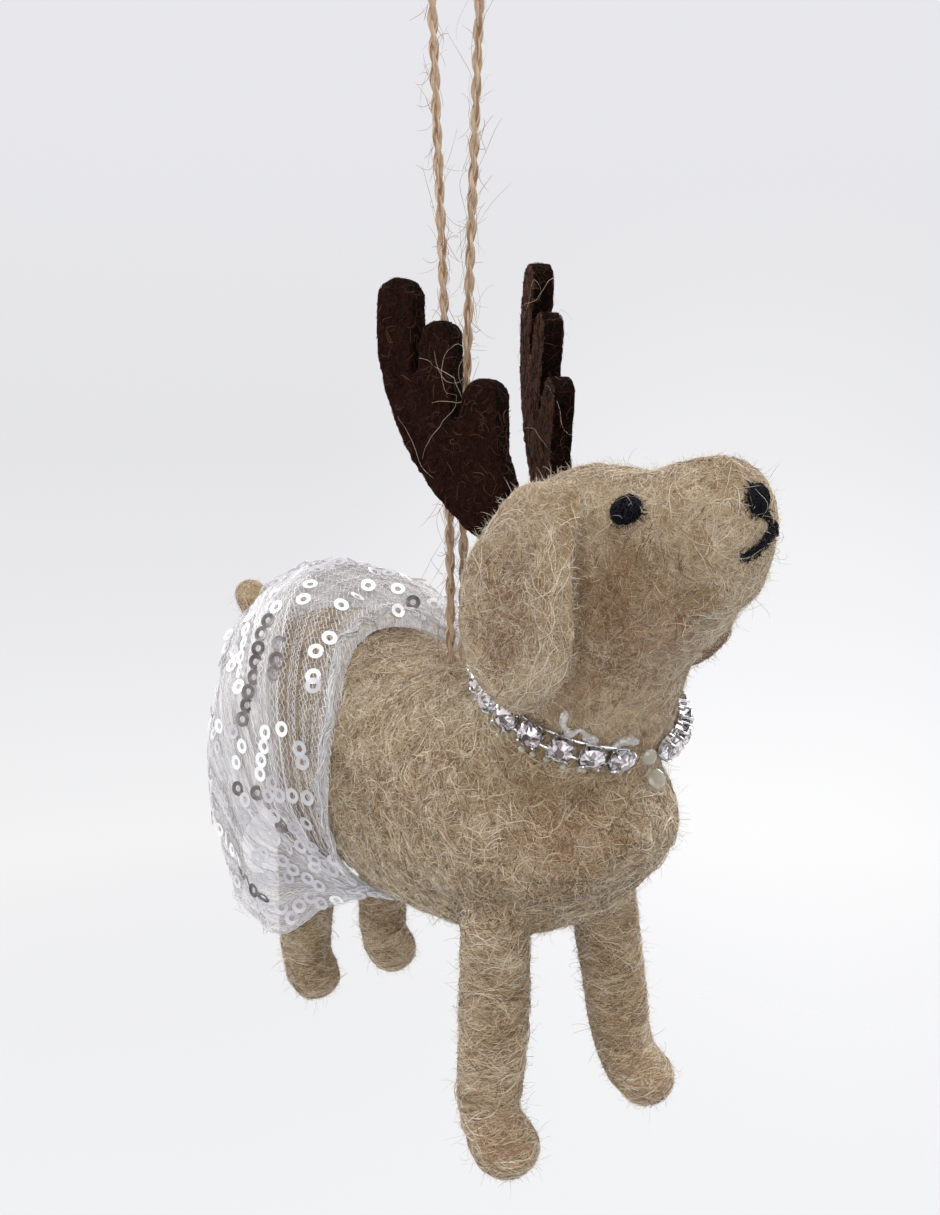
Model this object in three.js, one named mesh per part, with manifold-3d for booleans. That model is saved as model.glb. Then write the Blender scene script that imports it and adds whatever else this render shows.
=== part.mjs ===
// A hanging ornament: a needle felted dog with felt antlers, a stone set necklace and a sequin
// net skirt, held up by a loop of jute twine. Millimetres, +X to the nose, +Y to the dog's left,
// +Z up, with the origin inside the top of the loop, where a hook bears.
import * as THREE from "three";
import { mergeVertices } from "three/addons/utils/BufferGeometryUtils.js";
import Module from "manifold-3d";

const wasm = await Module();
wasm.setup();

// Clearances
const seatGap = 0.3; // between two pieces that lie against each other
const overrun = 1; // how far a cutter runs past what it cuts
const weld = 0.0001; // corners nearer than this are one

// Twine loop
const loopDrop = 96.4; // inside of the loop's top to the dog's back
const twineDiameter = 1.6;
const loopAngle = 52; // degrees that the loop's plane is turned from the dog's side view
const knotRadius = 1.8;
const knotMouthRadius = 4.3; // the hole in the back, wide enough for the dog to nod on its knot

// Torso
const torsoLength = 91.9;
const torsoWidth = 35;
const torsoDepth = 40;
const rumpReach = 52.5; // from the hanging point back to the rump
const torsoSquareness = 2.15; // exponent of the body's oval section

// Neck and head
const neckHalfWidth = 12.9;
const neckHalfDepth = 12.1;
const neckLength = 30;
const neckForward = 26.3; // neck centre at the necklace, from the hanging point
const neckRise = 0.2;
const neckLean = 26; // degrees forward from upright
const headLength = 39.6;
const headHeight = 30;
const headWidth = 28;
const headSetback = 14.5; // back of the skull, from the hanging point
const headRise = 16; // middle of the skull above the hanging point
const headSquareness = 2.1;

// Ears
const earLength = 25;
const earWidth = 19;
const earThickness = 4.2;
const earRootThickness = 2.8;
const earRootWidth = 10.4;
const earForward = 33;
const earRootForward = 33; // hinge point, from the hanging point
const leftEarSetback = 5.5; // the left ear hangs a little further back
const earRootRise = 26.6;
const earRootSpread = 12.4; // hinge line from the middle of the head
const earSpread = 17.4; // middle of the hanging ear from the middle of the head

// Antlers, flat felt cut outs
const feltThickness = 3.1;
const antlerHeight = 36;
const antlerWidth = 22.6;
const antlerForward = 18.5; // front tine's front edge
const antlerSpread = 6.2; // felt's middle there, from the middle of the head
const antlerRise = 18; // foot of the cut out above the hanging point
const leftAntlerSetback = 6; // the left cut out stands further back than the right one
// How each cut out is set by hand: turned in at the front and leaned forward, in degrees.
const antlerSetting = {
  right: { side: -1, toeIn: 15, lean: 0 },
  left: { side: 1, toeIn: 26, lean: 13 },
};

// Face
const eyeHalfLength = 2.15;
const eyeHalfHeight = 1.75;
const eyeHeight = 1;
const eyeForward = 40.8;
const eyeRise = 25;
const noseHalfWidth = 1.9;
const noseHalfHeight = 1.5;
const noseRise = 26.5;
const noseAside = 0.8; // the nose sits a little to the dog's right
const mouthThread = 0.7;
const mouthDrop = 3.5; // from the nose to where the mouth parts
const mouthReach = 3.5;
const lipDrop = 3.3;
const leftLipShare = 0.45; // the left lip is sewn short

// Legs and tail
const legRadius = 4.35;
const ankleRadius = 3.9;
const pawReach = 7; // each paw's toe forward of its ankle
const rearPawReach = 6;
const legBottom = 63.5; // below the hanging point
const ankleHeight = 6.8;
const frontLegForward = 24;
const frontLegSpread = 13; // each paw from the middle
const rearLegSetback = 31.5;
const rearLegSpread = 8;
const rearLegRadius = 4.3;
const hipDrop = 25; // top of each leg, inside the body, below the hanging point
const kneeDrop = 44;
const rightHipSetback = 2; // how far each front leg's top is set back from its paw
const leftHipSetback = 5;
const tailRadius = 2.9;
const tailRoot = 8; // hidden end, forward of the rump
const tailRootDrop = 8.7;
const tailKneeReach = 5.5; // its corner, behind the rump
const tailTip = 13; // behind the rump
const tailTipRise = 4.6;

// Wire inside the wool
const wireDiameter = 1.2;
const spineWireDrop = 20; // below the hanging point
const spineWireReach = 45; // rear end, behind the hanging point
const spineWireCorner = 8; // where it starts to rise towards the neck
const spineWireRise = 12.5; // up into the head from the necklace
const legWireDrop = 25; // where a leg's wire crosses the body, below the hanging point
const legWireCorner = 5; // size of its corner at the hip

// Necklace
const stoneDiameter = 2.6;
const stoneCrown = 0.55; // height above the girdle
const stonePavilion = 1.1; // depth below the girdle
const cupWidth = 3;
const cupHeight = 0.9;
const clawOverhang = 0.3; // how far a prong's tip leans in over the stone
const prongThickness = 0.38;
const cupPitch = 3.75;
const linkThickness = 0.34;
const necklaceGap = 8.6; // between the middles of the chain's end cups

// Set glue: runs along the necklace's upper edge and drops at its gap. Each point is
// [degrees round the neck from the front, height above the necklace's plane].
const glueRunRadius = 0.8;
const glueRuns = {
  upper: [[-56, 4.3], [-50, 3.1], [-41, 2.9], [-33, 2.5]],
  lower: [[-25, 2.4], [-15, 2.8], [-3, 2.4]],
};
const glueDrops = {
  gap: { spot: [8, -0.6], radius: 1.15 },
  low: { spot: [18.5, -5.8], radius: 1.4 },
};

// Skirt, a net bag drawn over the rump: oval sections that fan out from a line under the belly
const clothThickness = 0.9;
const skirtWaistHalfWidth = 18.6;
const skirtHalfWidth = 21.8;
const skirtHemHalfWidth = 18;
const skirtPivotSetback = 9; // the fan's line, from the hanging point
const skirtPivotDrop = 42.4;
const skirtBellyGap = 2.9; // from the fan's line to the cloth under the belly
const skirtWaistReach = 46.4; // from the fan's line to the cloth's top edge
const skirtFullReach = 61.6;
const skirtHemReach = 46;
const skirtSwellShare = 0.68; // below 1 the cloth is fullest nearer its waist than its hem
const foldDepth = 0.7;
const foldCount = 10;

const up = new THREE.Vector3(0, 0, 1);
const forward = new THREE.Vector3(1, 0, 0);
const backward = new THREE.Vector3(-1, 0, 0);
const leftward = new THREE.Vector3(0, 1, 0);

function felt(colour) {
  return new THREE.MeshStandardMaterial({ color: colour, roughness: 1, metalness: 0 });
}

const woolCream = felt(0xb9a184);
const woolBrown = felt(0x2b1512);
const woolBlack = felt(0x0d0e12);
const jute = felt(0xa9835a);
const sequinNet = new THREE.MeshStandardMaterial({ color: 0xd4d3d8, roughness: 0.5, metalness: 0.3 });
const silver = new THREE.MeshStandardMaterial({ color: 0xc9cacc, roughness: 0.25, metalness: 1 });
const crystal = new THREE.MeshStandardMaterial({ color: 0xf2f4f8, roughness: 0.05, metalness: 0 });
const clearGlue = new THREE.MeshStandardMaterial({ color: 0xe9e6e0, roughness: 0.2, metalness: 0 });
const steel = new THREE.MeshStandardMaterial({ color: 0x8d8f92, roughness: 0.4, metalness: 1 });

// A closed mesh's geometry as a solid that can be joined and cut.
function solidOf(geometry, matrix = new THREE.Matrix4()) {
  const plain = new THREE.BufferGeometry();
  plain.setAttribute("position", geometry.getAttribute("position").clone());
  if (geometry.index) plain.setIndex(geometry.index.clone());
  plain.applyMatrix4(matrix);
  const merged = mergeVertices(plain, weld);
  return new wasm.Manifold(
    new wasm.Mesh({
      numProp: 3,
      vertProperties: new Float32Array(merged.getAttribute("position").array),
      triVerts: new Uint32Array(merged.index.array),
    }),
  );
}

function geometryOf(solid) {
  const made = solid.getMesh();
  const geometry = new THREE.BufferGeometry();
  geometry.setAttribute("position", new THREE.BufferAttribute(made.vertProperties, 3));
  geometry.setIndex(new THREE.BufferAttribute(made.triVerts, 1));
  geometry.computeVertexNormals();
  return geometry;
}

function joined(solids) {
  return solids.reduce((whole, piece) => whole.add(piece));
}

// Rings of points, each with as many, closed by a point at each end.
function loft(rings, startPoint, endPoint) {
  const sides = rings[0].length;
  const points = [startPoint, ...rings.flat(), endPoint];
  const last = points.length - 1;
  const faces = [];
  for (let side = 0; side < sides; side++) {
    const next = (side + 1) % sides;
    faces.push(0, 1 + next, 1 + side);
    for (let ring = 0; ring < rings.length - 1; ring++) {
      const low = 1 + ring * sides;
      const high = low + sides;
      faces.push(low + side, low + next, high + next);
      faces.push(low + side, high + next, high + side);
    }
    faces.push(last, last - sides + side, last - sides + next);
  }
  return facingOut(points, faces);
}

// The same faces, turned round where they enclose a negative volume.
function facingOut(points, faces) {
  let volume = 0;
  for (let i = 0; i < faces.length; i += 3) {
    const [a, b, c] = [points[faces[i]], points[faces[i + 1]], points[faces[i + 2]]];
    volume += a.dot(new THREE.Vector3().crossVectors(b, c));
  }
  if (volume < 0) faces.reverse();
  const geometry = new THREE.BufferGeometry();
  geometry.setFromPoints(points);
  geometry.setIndex(faces);
  geometry.computeVertexNormals();
  return geometry;
}

function spreadPower(value, exponent) {
  return Math.sign(value) * Math.abs(value) ** (2 / exponent);
}

// A felted form: oval sections along a path, swelling and tapering, with round ends.
// across is the direction of each section's width, halfWidths and halfDepths are its half sizes
// at the path's points, and rounding is the length over which each end closes.
function feltForm({
  path, across, halfWidths, halfDepths, rounding, sides, rings, squareness = 2, grow = 0,
}) {
  const spine = new THREE.CatmullRomCurve3(path);
  const sizes = new THREE.CatmullRomCurve3(
    path.map((_, i) => new THREE.Vector3(halfWidths[i], halfDepths[i], 0)),
  );
  const length = spine.getLength();
  const sections = [];
  for (let ring = 1; ring < rings; ring++) {
    const share = (1 - Math.cos((Math.PI * ring) / rings)) / 2;
    const u = spine.getUtoTmapping(share);
    const centre = spine.getPoint(u);
    const tangent = spine.getTangent(u);
    const size = sizes.getPoint(u);
    const fromStart = Math.min((share * length) / rounding[0], 1);
    const fromEnd = Math.min(((1 - share) * length) / rounding[1], 1);
    const closing = Math.sqrt(1 - (1 - fromStart) ** 2) * Math.sqrt(1 - (1 - fromEnd) ** 2);
    const depthAxis = new THREE.Vector3().crossVectors(tangent, across).normalize();
    centre.addScaledVector(tangent, grow * (2 * share - 1));
    const section = [];
    for (let side = 0; side < sides; side++) {
      const angle = (2 * Math.PI * side) / sides;
      const wide = (size.x * closing + grow) * spreadPower(Math.cos(angle), squareness);
      const deep = (size.y * closing + grow) * spreadPower(Math.sin(angle), squareness);
      section.push(centre.clone().addScaledVector(across, wide).addScaledVector(depthAxis, deep));
    }
    sections.push(section);
  }
  const start = spine.getPoint(0).addScaledVector(spine.getTangent(0), -grow);
  const end = spine.getPoint(1).addScaledVector(spine.getTangent(1), grow);
  return loft(sections, start, end);
}

// A round tube along a curve, with flat ends.
function tube(curve, radius, steps, sides) {
  const circle = new THREE.Shape();
  for (let side = 0; side < sides; side++) {
    const angle = (2 * Math.PI * (side + 0.5)) / sides;
    const point = [radius * Math.cos(angle), radius * Math.sin(angle)];
    if (side === 0) circle.moveTo(...point);
    else circle.lineTo(...point);
  }
  circle.closePath();
  return new THREE.ExtrudeGeometry(circle, { steps, bevelEnabled: false, extrudePath: curve });
}

function curveThrough(points) {
  return new THREE.CatmullRomCurve3(points, false, "centripetal");
}

// Torso: the outline's stations from rump to chest, in shares of the torso's sizes.
// Each is [along the length, section's middle above the hanging point per depth,
// half width per width, half depth per depth].
const torsoShares = [
  [0, -0.335, 0.41, 0.37],
  [0.1, -0.35, 0.49, 0.45],
  [0.24, -0.385, 0.53, 0.49],
  [0.4, -0.43, 0.505, 0.463],
  [0.55, -0.47, 0.485, 0.475],
  [0.68, -0.44, 0.49, 0.48],
  [0.82, -0.425, 0.485, 0.4],
  [0.93, -0.395, 0.44, 0.28],
  [1, -0.36, 0.36, 0.2],
];

function torsoForm(grow = 0) {
  return feltForm({
    path: torsoShares.map(([along, rise]) =>
      new THREE.Vector3(along * torsoLength - rumpReach, 0, rise * torsoDepth)),
    across: leftward,
    halfWidths: torsoShares.map((station) => station[2] * torsoWidth),
    halfDepths: torsoShares.map((station) => station[3] * torsoDepth),
    rounding: [torsoDepth / 2, torsoDepth / 2],
    sides: 28,
    rings: 22,
    squareness: torsoSquareness,
    grow,
  });
}

// Head: skull to muzzle, in shares of the head's sizes, laid out as the torso's are.
const headShares = [
  [0, 0.02, 0.33, 0.3],
  [0.12, 0, 0.42, 0.41],
  [0.26, -0.02, 0.49, 0.475],
  [0.42, -0.01, 0.5, 0.48],
  [0.56, 0.05, 0.43, 0.43],
  [0.66, 0.1, 0.36, 0.365],
  [0.78, 0.185, 0.27, 0.31],
  [0.9, 0.23, 0.245, 0.285],
  [1, 0.235, 0.215, 0.24],
];

const neckDirection = new THREE.Vector3(
  Math.sin(THREE.MathUtils.degToRad(neckLean)),
  0,
  Math.cos(THREE.MathUtils.degToRad(neckLean)),
);
const neckCentre = new THREE.Vector3(neckForward, 0, neckRise);

function alongNeck(height) {
  return neckCentre.clone().addScaledVector(neckDirection, height);
}

function skullForm(grow = 0) {
  return feltForm({
    path: headShares.map(([along, rise]) =>
      new THREE.Vector3(headSetback + along * headLength, 0, headRise + rise * headHeight)),
    across: leftward,
    halfWidths: headShares.map((station) => station[2] * headWidth),
    halfDepths: headShares.map((station) => station[3] * headHeight),
    rounding: [headHeight / 2, headHeight / 6],
    sides: 24,
    rings: 22,
    squareness: headSquareness,
    grow,
  });
}

const neckShares = [-0.5, -0.2, 0, 0.2, 0.5];
const neckSwellShares = [1.06, 1.02, 1, 0.93, 0.87];

function neckForm(grow = 0) {
  return feltForm({
    path: neckShares.map((share) => alongNeck(share * neckLength)),
    across: leftward,
    halfWidths: neckSwellShares.map((swell) => swell * neckHalfWidth),
    halfDepths: neckSwellShares.map((swell) => swell * neckHalfDepth),
    rounding: [neckHalfDepth / 2, neckHalfDepth / 2],
    sides: 24,
    rings: 10,
    grow,
  });
}

function headSolid(grow = 0) {
  return solidOf(skullForm(grow)).add(solidOf(neckForm(grow)));
}

// Where the knot sits: a round pocket under the back, with a flared mouth for the strands.
const knotCentre = new THREE.Vector3(0, 0, -knotRadius - seatGap);

function knotPocket() {
  const pocketRadius = knotRadius + seatGap;
  const pocket = new THREE.SphereGeometry(pocketRadius, 14, 9).rotateX(Math.PI / 2);
  const flare = new THREE.LatheGeometry(
    [
      new THREE.Vector2(0, 0),
      new THREE.Vector2(pocketRadius, 0),
      new THREE.Vector2(knotMouthRadius, -knotCentre.z + overrun),
      new THREE.Vector2(0, -knotCentre.z + overrun),
    ],
    18,
  ).rotateX(Math.PI / 2);
  const place = new THREE.Matrix4().setPosition(knotCentre);
  return solidOf(pocket, place).add(solidOf(flare, place));
}

// Legs: paths from inside the body down to the paw, in the dog's own frame.
function legForm({ hip, knee, ankle, toe, radius, thin, grow = 0 }) {
  return feltForm({
    path: [hip, knee, ankle, toe],
    across: leftward,
    halfWidths: [radius, radius, thin, radius],
    halfDepths: [radius, radius, thin, thin],
    rounding: [radius, radius],
    sides: 14,
    rings: 15,
    grow,
  });
}

function frontLegPath(side) {
  const hipBack = side > 0 ? leftHipSetback : rightHipSetback;
  const hipSpread = frontLegSpread - legRadius / 2;
  const kneeSpread = frontLegSpread - legRadius / 4;
  return {
    hip: new THREE.Vector3(frontLegForward - hipBack, side * hipSpread, -hipDrop),
    knee: new THREE.Vector3(frontLegForward - hipBack / 2, side * kneeSpread, -kneeDrop),
    ankle: new THREE.Vector3(frontLegForward, side * frontLegSpread, ankleHeight - legBottom),
    toe: new THREE.Vector3(frontLegForward + pawReach, side * frontLegSpread, legRadius - legBottom),
  };
}

function frontLeg(side) {
  return legForm({
    ...frontLegPath(side),
    radius: legRadius,
    thin: ankleRadius,
  });
}

function rearLegPath(side) {
  return {
    hip: new THREE.Vector3(-rearLegSetback, side * rearLegSpread, -hipDrop),
    knee: new THREE.Vector3(-rearLegSetback, side * rearLegSpread, -kneeDrop),
    ankle: new THREE.Vector3(-rearLegSetback, side * rearLegSpread, ankleHeight - legBottom),
    toe: new THREE.Vector3(rearPawReach - rearLegSetback, side * rearLegSpread, rearLegRadius - legBottom),
  };
}

function rearLeg(side) {
  return legForm({
    ...rearLegPath(side),
    radius: rearLegRadius,
    thin: ankleRadius,
  });
}

const torsoGrown = solidOf(torsoForm(seatGap));
const headGrown = headSolid(seatGap);

const dog = new THREE.Group();
dog.position.z = -loopDrop;

function place(group, name, shape, material) {
  const geometry = shape.isBufferGeometry ? shape : geometryOf(shape);
  const mesh = new THREE.Mesh(geometry, material);
  mesh.name = name;
  group.add(mesh);
  return mesh;
}

// Wires: one up each pair of legs and across the body between them, and one along the body
// and up the neck.
function legWirePoints({ hip, knee, ankle }) {
  return [ankle, knee, hip.clone().setZ(-legWireDrop - legWireCorner)];
}

function crossingWire(paths) {
  const [right, left] = paths.map(legWirePoints);
  const corners = [right[2], left[2]].map((hip) => {
    const inward = new THREE.Vector3(hip.x, hip.y - Math.sign(hip.y) * legWireCorner, -legWireDrop);
    return inward;
  });
  return curveThrough([...right, ...corners, ...left.reverse()]);
}

const wirePaths = {
  front: crossingWire([frontLegPath(-1), frontLegPath(1)]),
  rear: crossingWire([rearLegPath(-1), rearLegPath(1)]),
  spine: curveThrough([
    new THREE.Vector3(-spineWireReach, 0, -spineWireDrop),
    new THREE.Vector3(-spineWireReach / 2, 0, -spineWireDrop),
    new THREE.Vector3(spineWireCorner, 0, -spineWireDrop),
    alongNeck(-neckLength / 2),
    neckCentre,
    alongNeck(spineWireRise),
  ]),
};

function wire(curve, grow = 0) {
  return solidOf(tube(curve, wireDiameter / 2 + grow, 22, 6));
}

const wireChannels = joined(Object.values(wirePaths).map((curve) => wire(curve, seatGap)));

const torso = solidOf(torsoForm()).subtract(knotPocket()).subtract(wireChannels);
place(dog, "torso_felt", torso, woolCream);
const head = headSolid().subtract(torsoGrown).subtract(wireChannels);
const headMesh = place(dog, "head_felt", head, woolCream);
for (const [word, side] of [["right", -1], ["left", 1]]) {
  const legs = { front: frontLeg(side), rear: rearLeg(side) };
  for (const [end, form] of Object.entries(legs)) {
    const leg = solidOf(form).subtract(torsoGrown).subtract(wireChannels);
    place(dog, `leg_${end}_${word}`, leg, woolCream);
  }
}
place(dog, "front_leg_wire", wire(wirePaths.front), steel);
place(dog, "rear_leg_wire", wire(wirePaths.rear), steel);
place(dog, "spine_wire", wire(wirePaths.spine), steel);
const knot = new THREE.SphereGeometry(knotRadius, 14, 9).rotateX(Math.PI / 2).translate(...knotCentre);
place(dog, "twine_knot", knot, jute);

function tailForm(grow = 0) {
  return feltForm({
    path: [
      new THREE.Vector3(-rumpReach + tailRoot, 0, -tailRootDrop),
      new THREE.Vector3(-rumpReach - tailKneeReach, 0, -tailRadius / 2),
      new THREE.Vector3(-rumpReach - tailTip, 0, tailTipRise),
    ],
    across: leftward,
    halfWidths: [tailRadius, tailRadius, tailRadius],
    halfDepths: [tailRadius, tailRadius, tailRadius],
    rounding: [tailRadius, tailRadius],
    sides: 12,
    rings: 14,
    grow,
  });
}
place(dog, "tail", solidOf(tailForm()).subtract(torsoGrown), woolCream);

// Ears: each hangs from a rounded root beside the skull and swings about a line through it.
const earShares = [
  // down the length, forward of the ear's middle per width, half width per width, and how far
  // out from the root's side towards the hanging side
  [0.3, -0.02, 0.44, 0.8],
  [0.58, 0, 0.5, 1],
  [0.82, 0, 0.42, 1],
  [1, 0, 0.3, 0.9],
];

function earForm(side, grow = 0) {
  const back = side > 0 ? leftEarSetback : 0;
  const rootPoint = new THREE.Vector3(earRootForward - back, side * earRootSpread, earRootRise);
  const hangingPoints = earShares.map(([down, ahead, , out]) => new THREE.Vector3(
    earForward - back + ahead * earWidth,
    side * THREE.MathUtils.lerp(earRootSpread, earSpread, out),
    earRootRise - down * earLength,
  ));
  const rootDirection = hangingPoints[0].clone().sub(rootPoint).normalize();
  const top = rootPoint.clone().addScaledVector(rootDirection, -earRootThickness / 2);
  return feltForm({
    path: [top, ...hangingPoints],
    across: forward,
    halfWidths: [earRootWidth / 2, ...earShares.map((station) => station[2] * earWidth)],
    halfDepths: [earRootThickness / 2, ...earShares.map(() => earThickness / 2)],
    rounding: [earRootThickness / 2, earWidth / 3],
    sides: 18,
    rings: 15,
    grow,
  });
}

for (const [word, side] of [["right", -1], ["left", 1]]) {
  place(dog, `ear_${word}`, solidOf(earForm(side)).subtract(headGrown), woolCream);
}

// Antlers: one flat outline, as shares of its width from the rearmost edge and of its height from
// the foot. A tine is [middle, tip's middle, radius per width], a notch is [across, height].
const tineShares = [
  [0.76, 0.54, 0.128],
  [0.447, 0.758, 0.115],
  [0.146, 0.908, 0.137],
];
const notchShares = [
  [0.557, 0.47],
  [0.27, 0.64],
];
const footShares = {
  front: [1.1, -0.17], brow: [1, 0.2], rise: [0.888, 0.36], heel: [0.89, 0], back: [0.97, -0.17],
};
const backEdgeShares = { high: [-0.04, 0.66], low: [0.15, 0.24] };

function antlerOutline() {
  const at = ([across, height]) => [(across - 1) * antlerWidth, height * antlerHeight];
  const outline = new THREE.Shape();
  outline.moveTo(...at(footShares.front));
  outline.quadraticCurveTo(...at(footShares.brow), ...at(footShares.rise));
  tineShares.forEach(([middle, tip, radius], i) => {
    const size = radius * antlerWidth;
    const [x, y] = at([middle, tip]);
    outline.lineTo(x + size, y);
    outline.absarc(x, y, size, 0, Math.PI);
    if (i < notchShares.length) {
      const [notchX, notchY] = at(notchShares[i]);
      outline.quadraticCurveTo(x - size, notchY, notchX, notchY);
    }
  });
  outline.bezierCurveTo(...at(backEdgeShares.high), ...at(backEdgeShares.low), ...at(footShares.heel));
  outline.lineTo(...at(footShares.back));
  outline.closePath();
  return outline;
}

function antler({ side, toeIn, lean }) {
  const setback = side > 0 ? leftAntlerSetback : 0;
  const flat = new THREE.ExtrudeGeometry(antlerOutline(), {
    depth: feltThickness,
    steps: 1,
    curveSegments: 8,
    bevelEnabled: false,
  });
  flat.translate(0, 0, -feltThickness / 2).rotateX(Math.PI / 2);
  flat.rotateY(THREE.MathUtils.degToRad(lean));
  flat.rotateZ(THREE.MathUtils.degToRad(-side * toeIn));
  flat.translate(antlerForward + antlerWidth / 9 - setback, side * antlerSpread, antlerRise);
  return solidOf(flat).subtract(headGrown);
}
for (const [word, setting] of Object.entries(antlerSetting)) {
  place(dog, `antler_${word}`, antler(setting), woolBrown);
}

// Where a straight line meets the head, with the surface's direction there.
function onHead(from, direction) {
  const [hit] = new THREE.Raycaster(from, direction).intersectObject(new THREE.Mesh(headMesh.geometry));
  return { point: hit.point, normal: hit.face.normal.clone() };
}

function patchOnHead({ point, normal }, halfLength, halfHeight, thickness) {
  const patch = new THREE.SphereGeometry(1, 14, 8).scale(halfLength, halfHeight, thickness);
  const turn = new THREE.Quaternion().setFromUnitVectors(up, normal);
  patch.applyQuaternion(turn).translate(...point);
  return solidOf(patch).subtract(headGrown);
}

const farOut = headLength * 2;
for (const [word, side] of [["right", -1], ["left", 1]]) {
  const beside = new THREE.Vector3(eyeForward, side * farOut, eyeRise);
  const socket = onHead(beside, leftward.clone().multiplyScalar(-side));
  place(dog, `eye_${word}`, patchOnHead(socket, eyeHalfLength, eyeHalfHeight, eyeHeight), woolBlack);
}

function onMuzzle(across, rise) {
  const { point, normal } = onHead(new THREE.Vector3(farOut, across, rise), backward);
  return point.addScaledVector(normal, mouthThread / 2 + seatGap);
}

const nose = onHead(new THREE.Vector3(farOut, -noseAside, noseRise), backward);
const nosePatch = new THREE.SphereGeometry(noseHalfHeight, 14, 8);
nosePatch.scale(1, noseHalfWidth / noseHalfHeight, 1);
nosePatch.translate(...nose.point);
place(dog, "nose", solidOf(nosePatch).subtract(headGrown), woolBlack);

const lipShares = [[0, 0], [0.35, 0.35], [0.7, 0.75], [1, 1]];
const mouthTop = noseRise - noseHalfHeight - seatGap * 2;
const mouthMiddle = noseRise - mouthDrop;
function lip(side) {
  const size = side > 0 ? leftLipShare : 1;
  const points = lipShares.map(([out, down]) =>
    onMuzzle(side * out * size * mouthReach, mouthMiddle - down * size * lipDrop));
  return solidOf(tube(curveThrough(points), mouthThread / 2, 7, 5));
}
const stemRises = [mouthTop, (mouthTop + mouthMiddle) / 2, mouthMiddle - mouthThread / 2];
const stemCurve = curveThrough(stemRises.map((rise) => onMuzzle(0, rise)));
const stem = solidOf(tube(stemCurve, mouthThread / 2, 4, 5));
const mouth = joined([stem, lip(-1), lip(1)]).subtract(headGrown);
place(dog, "mouth_thread", mouth, woolBlack);

// Necklace: an open ring of cups, each with four leaning prongs, joined by pairs of thin bars.
const necklace = new THREE.Group();
necklace.position.copy(neckCentre);
necklace.rotation.y = THREE.MathUtils.degToRad(neckLean);
dog.add(necklace);

const linkHeight = cupHeight / 2;
const ringDepth = neckHalfDepth + seatGap + linkHeight;
const ringWidth = neckHalfWidth + seatGap + linkHeight;
const wholeRing = new THREE.EllipseCurve(0, 0, ringDepth, ringWidth);
const gapShare = necklaceGap / wholeRing.getLength();
const cupCount = Math.round(((1 - gapShare) * wholeRing.getLength()) / cupPitch) + 1;

// The frame of a cup: its base is at the origin, its stone faces +Z and the next cup is along +X.
function cupFrame(index) {
  const u = gapShare / 2 + ((1 - gapShare) * index) / (cupCount - 1);
  const at = wholeRing.getPointAt(u);
  const along = wholeRing.getTangentAt(u);
  const tangent = new THREE.Vector3(along.x, along.y, 0);
  const outward = new THREE.Vector3(along.y, -along.x, 0);
  const sideways = new THREE.Vector3().crossVectors(outward, tangent);
  const frame = new THREE.Matrix4().makeBasis(tangent, sideways, outward);
  const base = new THREE.Vector3(at.x, at.y, 0).addScaledVector(outward, -linkHeight);
  return frame.setPosition(base);
}

const girdleRise = seatGap + stonePavilion + linkThickness;
const prongTip = girdleRise + stoneCrown;
function prong(signX, signY) {
  const outer = cupWidth / 2;
  const levels = [
    [cupHeight / 2, outer],
    [prongTip, outer - clawOverhang],
  ];
  const rings = levels.map(([rise, edge]) => {
    const inner = edge - prongThickness;
    return [[inner, inner], [edge, inner], [edge, edge], [inner, edge]].map(
      ([x, y]) => new THREE.Vector3(signX * x, signY * y, rise),
    );
  });
  const middle = (ring) => ring[0].clone().lerp(ring[2], 0.5);
  return loft(rings, middle(rings[0]), middle(rings[rings.length - 1]));
}

function squareRing(half, rise) {
  return [[-half, -half], [half, -half], [half, half], [-half, half]].map(
    ([x, y]) => new THREE.Vector3(x, y, rise),
  );
}

function cup() {
  const outer = cupWidth / 2;
  const seatHalf = outer - prongThickness;
  const tray = loft(
    [squareRing(outer, 0), squareRing(outer, cupHeight), squareRing(seatHalf, cupHeight)],
    new THREE.Vector3(0, 0, 0),
    new THREE.Vector3(0, 0, linkThickness),
  );
  const prongs = [[1, 1], [-1, 1], [-1, -1], [1, -1]].map(([x, y]) => solidOf(prong(x, y)));
  return joined([solidOf(tray), ...prongs]);
}

const cupGeometry = geometryOf(cup());
const linkOffset = cupWidth / 2 - linkThickness;
const chainPieces = [];
for (let index = 0; index < cupCount; index++) {
  chainPieces.push(solidOf(cupGeometry, cupFrame(index)));
  if (index === cupCount - 1) break;
  const here = new THREE.Vector3().setFromMatrixPosition(cupFrame(index));
  const there = new THREE.Vector3().setFromMatrixPosition(cupFrame(index + 1));
  const span = there.clone().sub(here);
  const turn = Math.atan2(span.y, span.x);
  for (const level of [-linkOffset, linkOffset]) {
    const bar = new THREE.BoxGeometry(span.length(), linkThickness, linkThickness);
    bar.rotateZ(turn).translate(...here.clone().lerp(there, 0.5)).translate(0, 0, level);
    bar.translate(linkHeight * Math.sin(turn), -linkHeight * Math.cos(turn), 0);
    chainPieces.push(solidOf(bar));
  }
}
place(necklace, "cup_chain", joined(chainPieces), silver);

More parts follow.
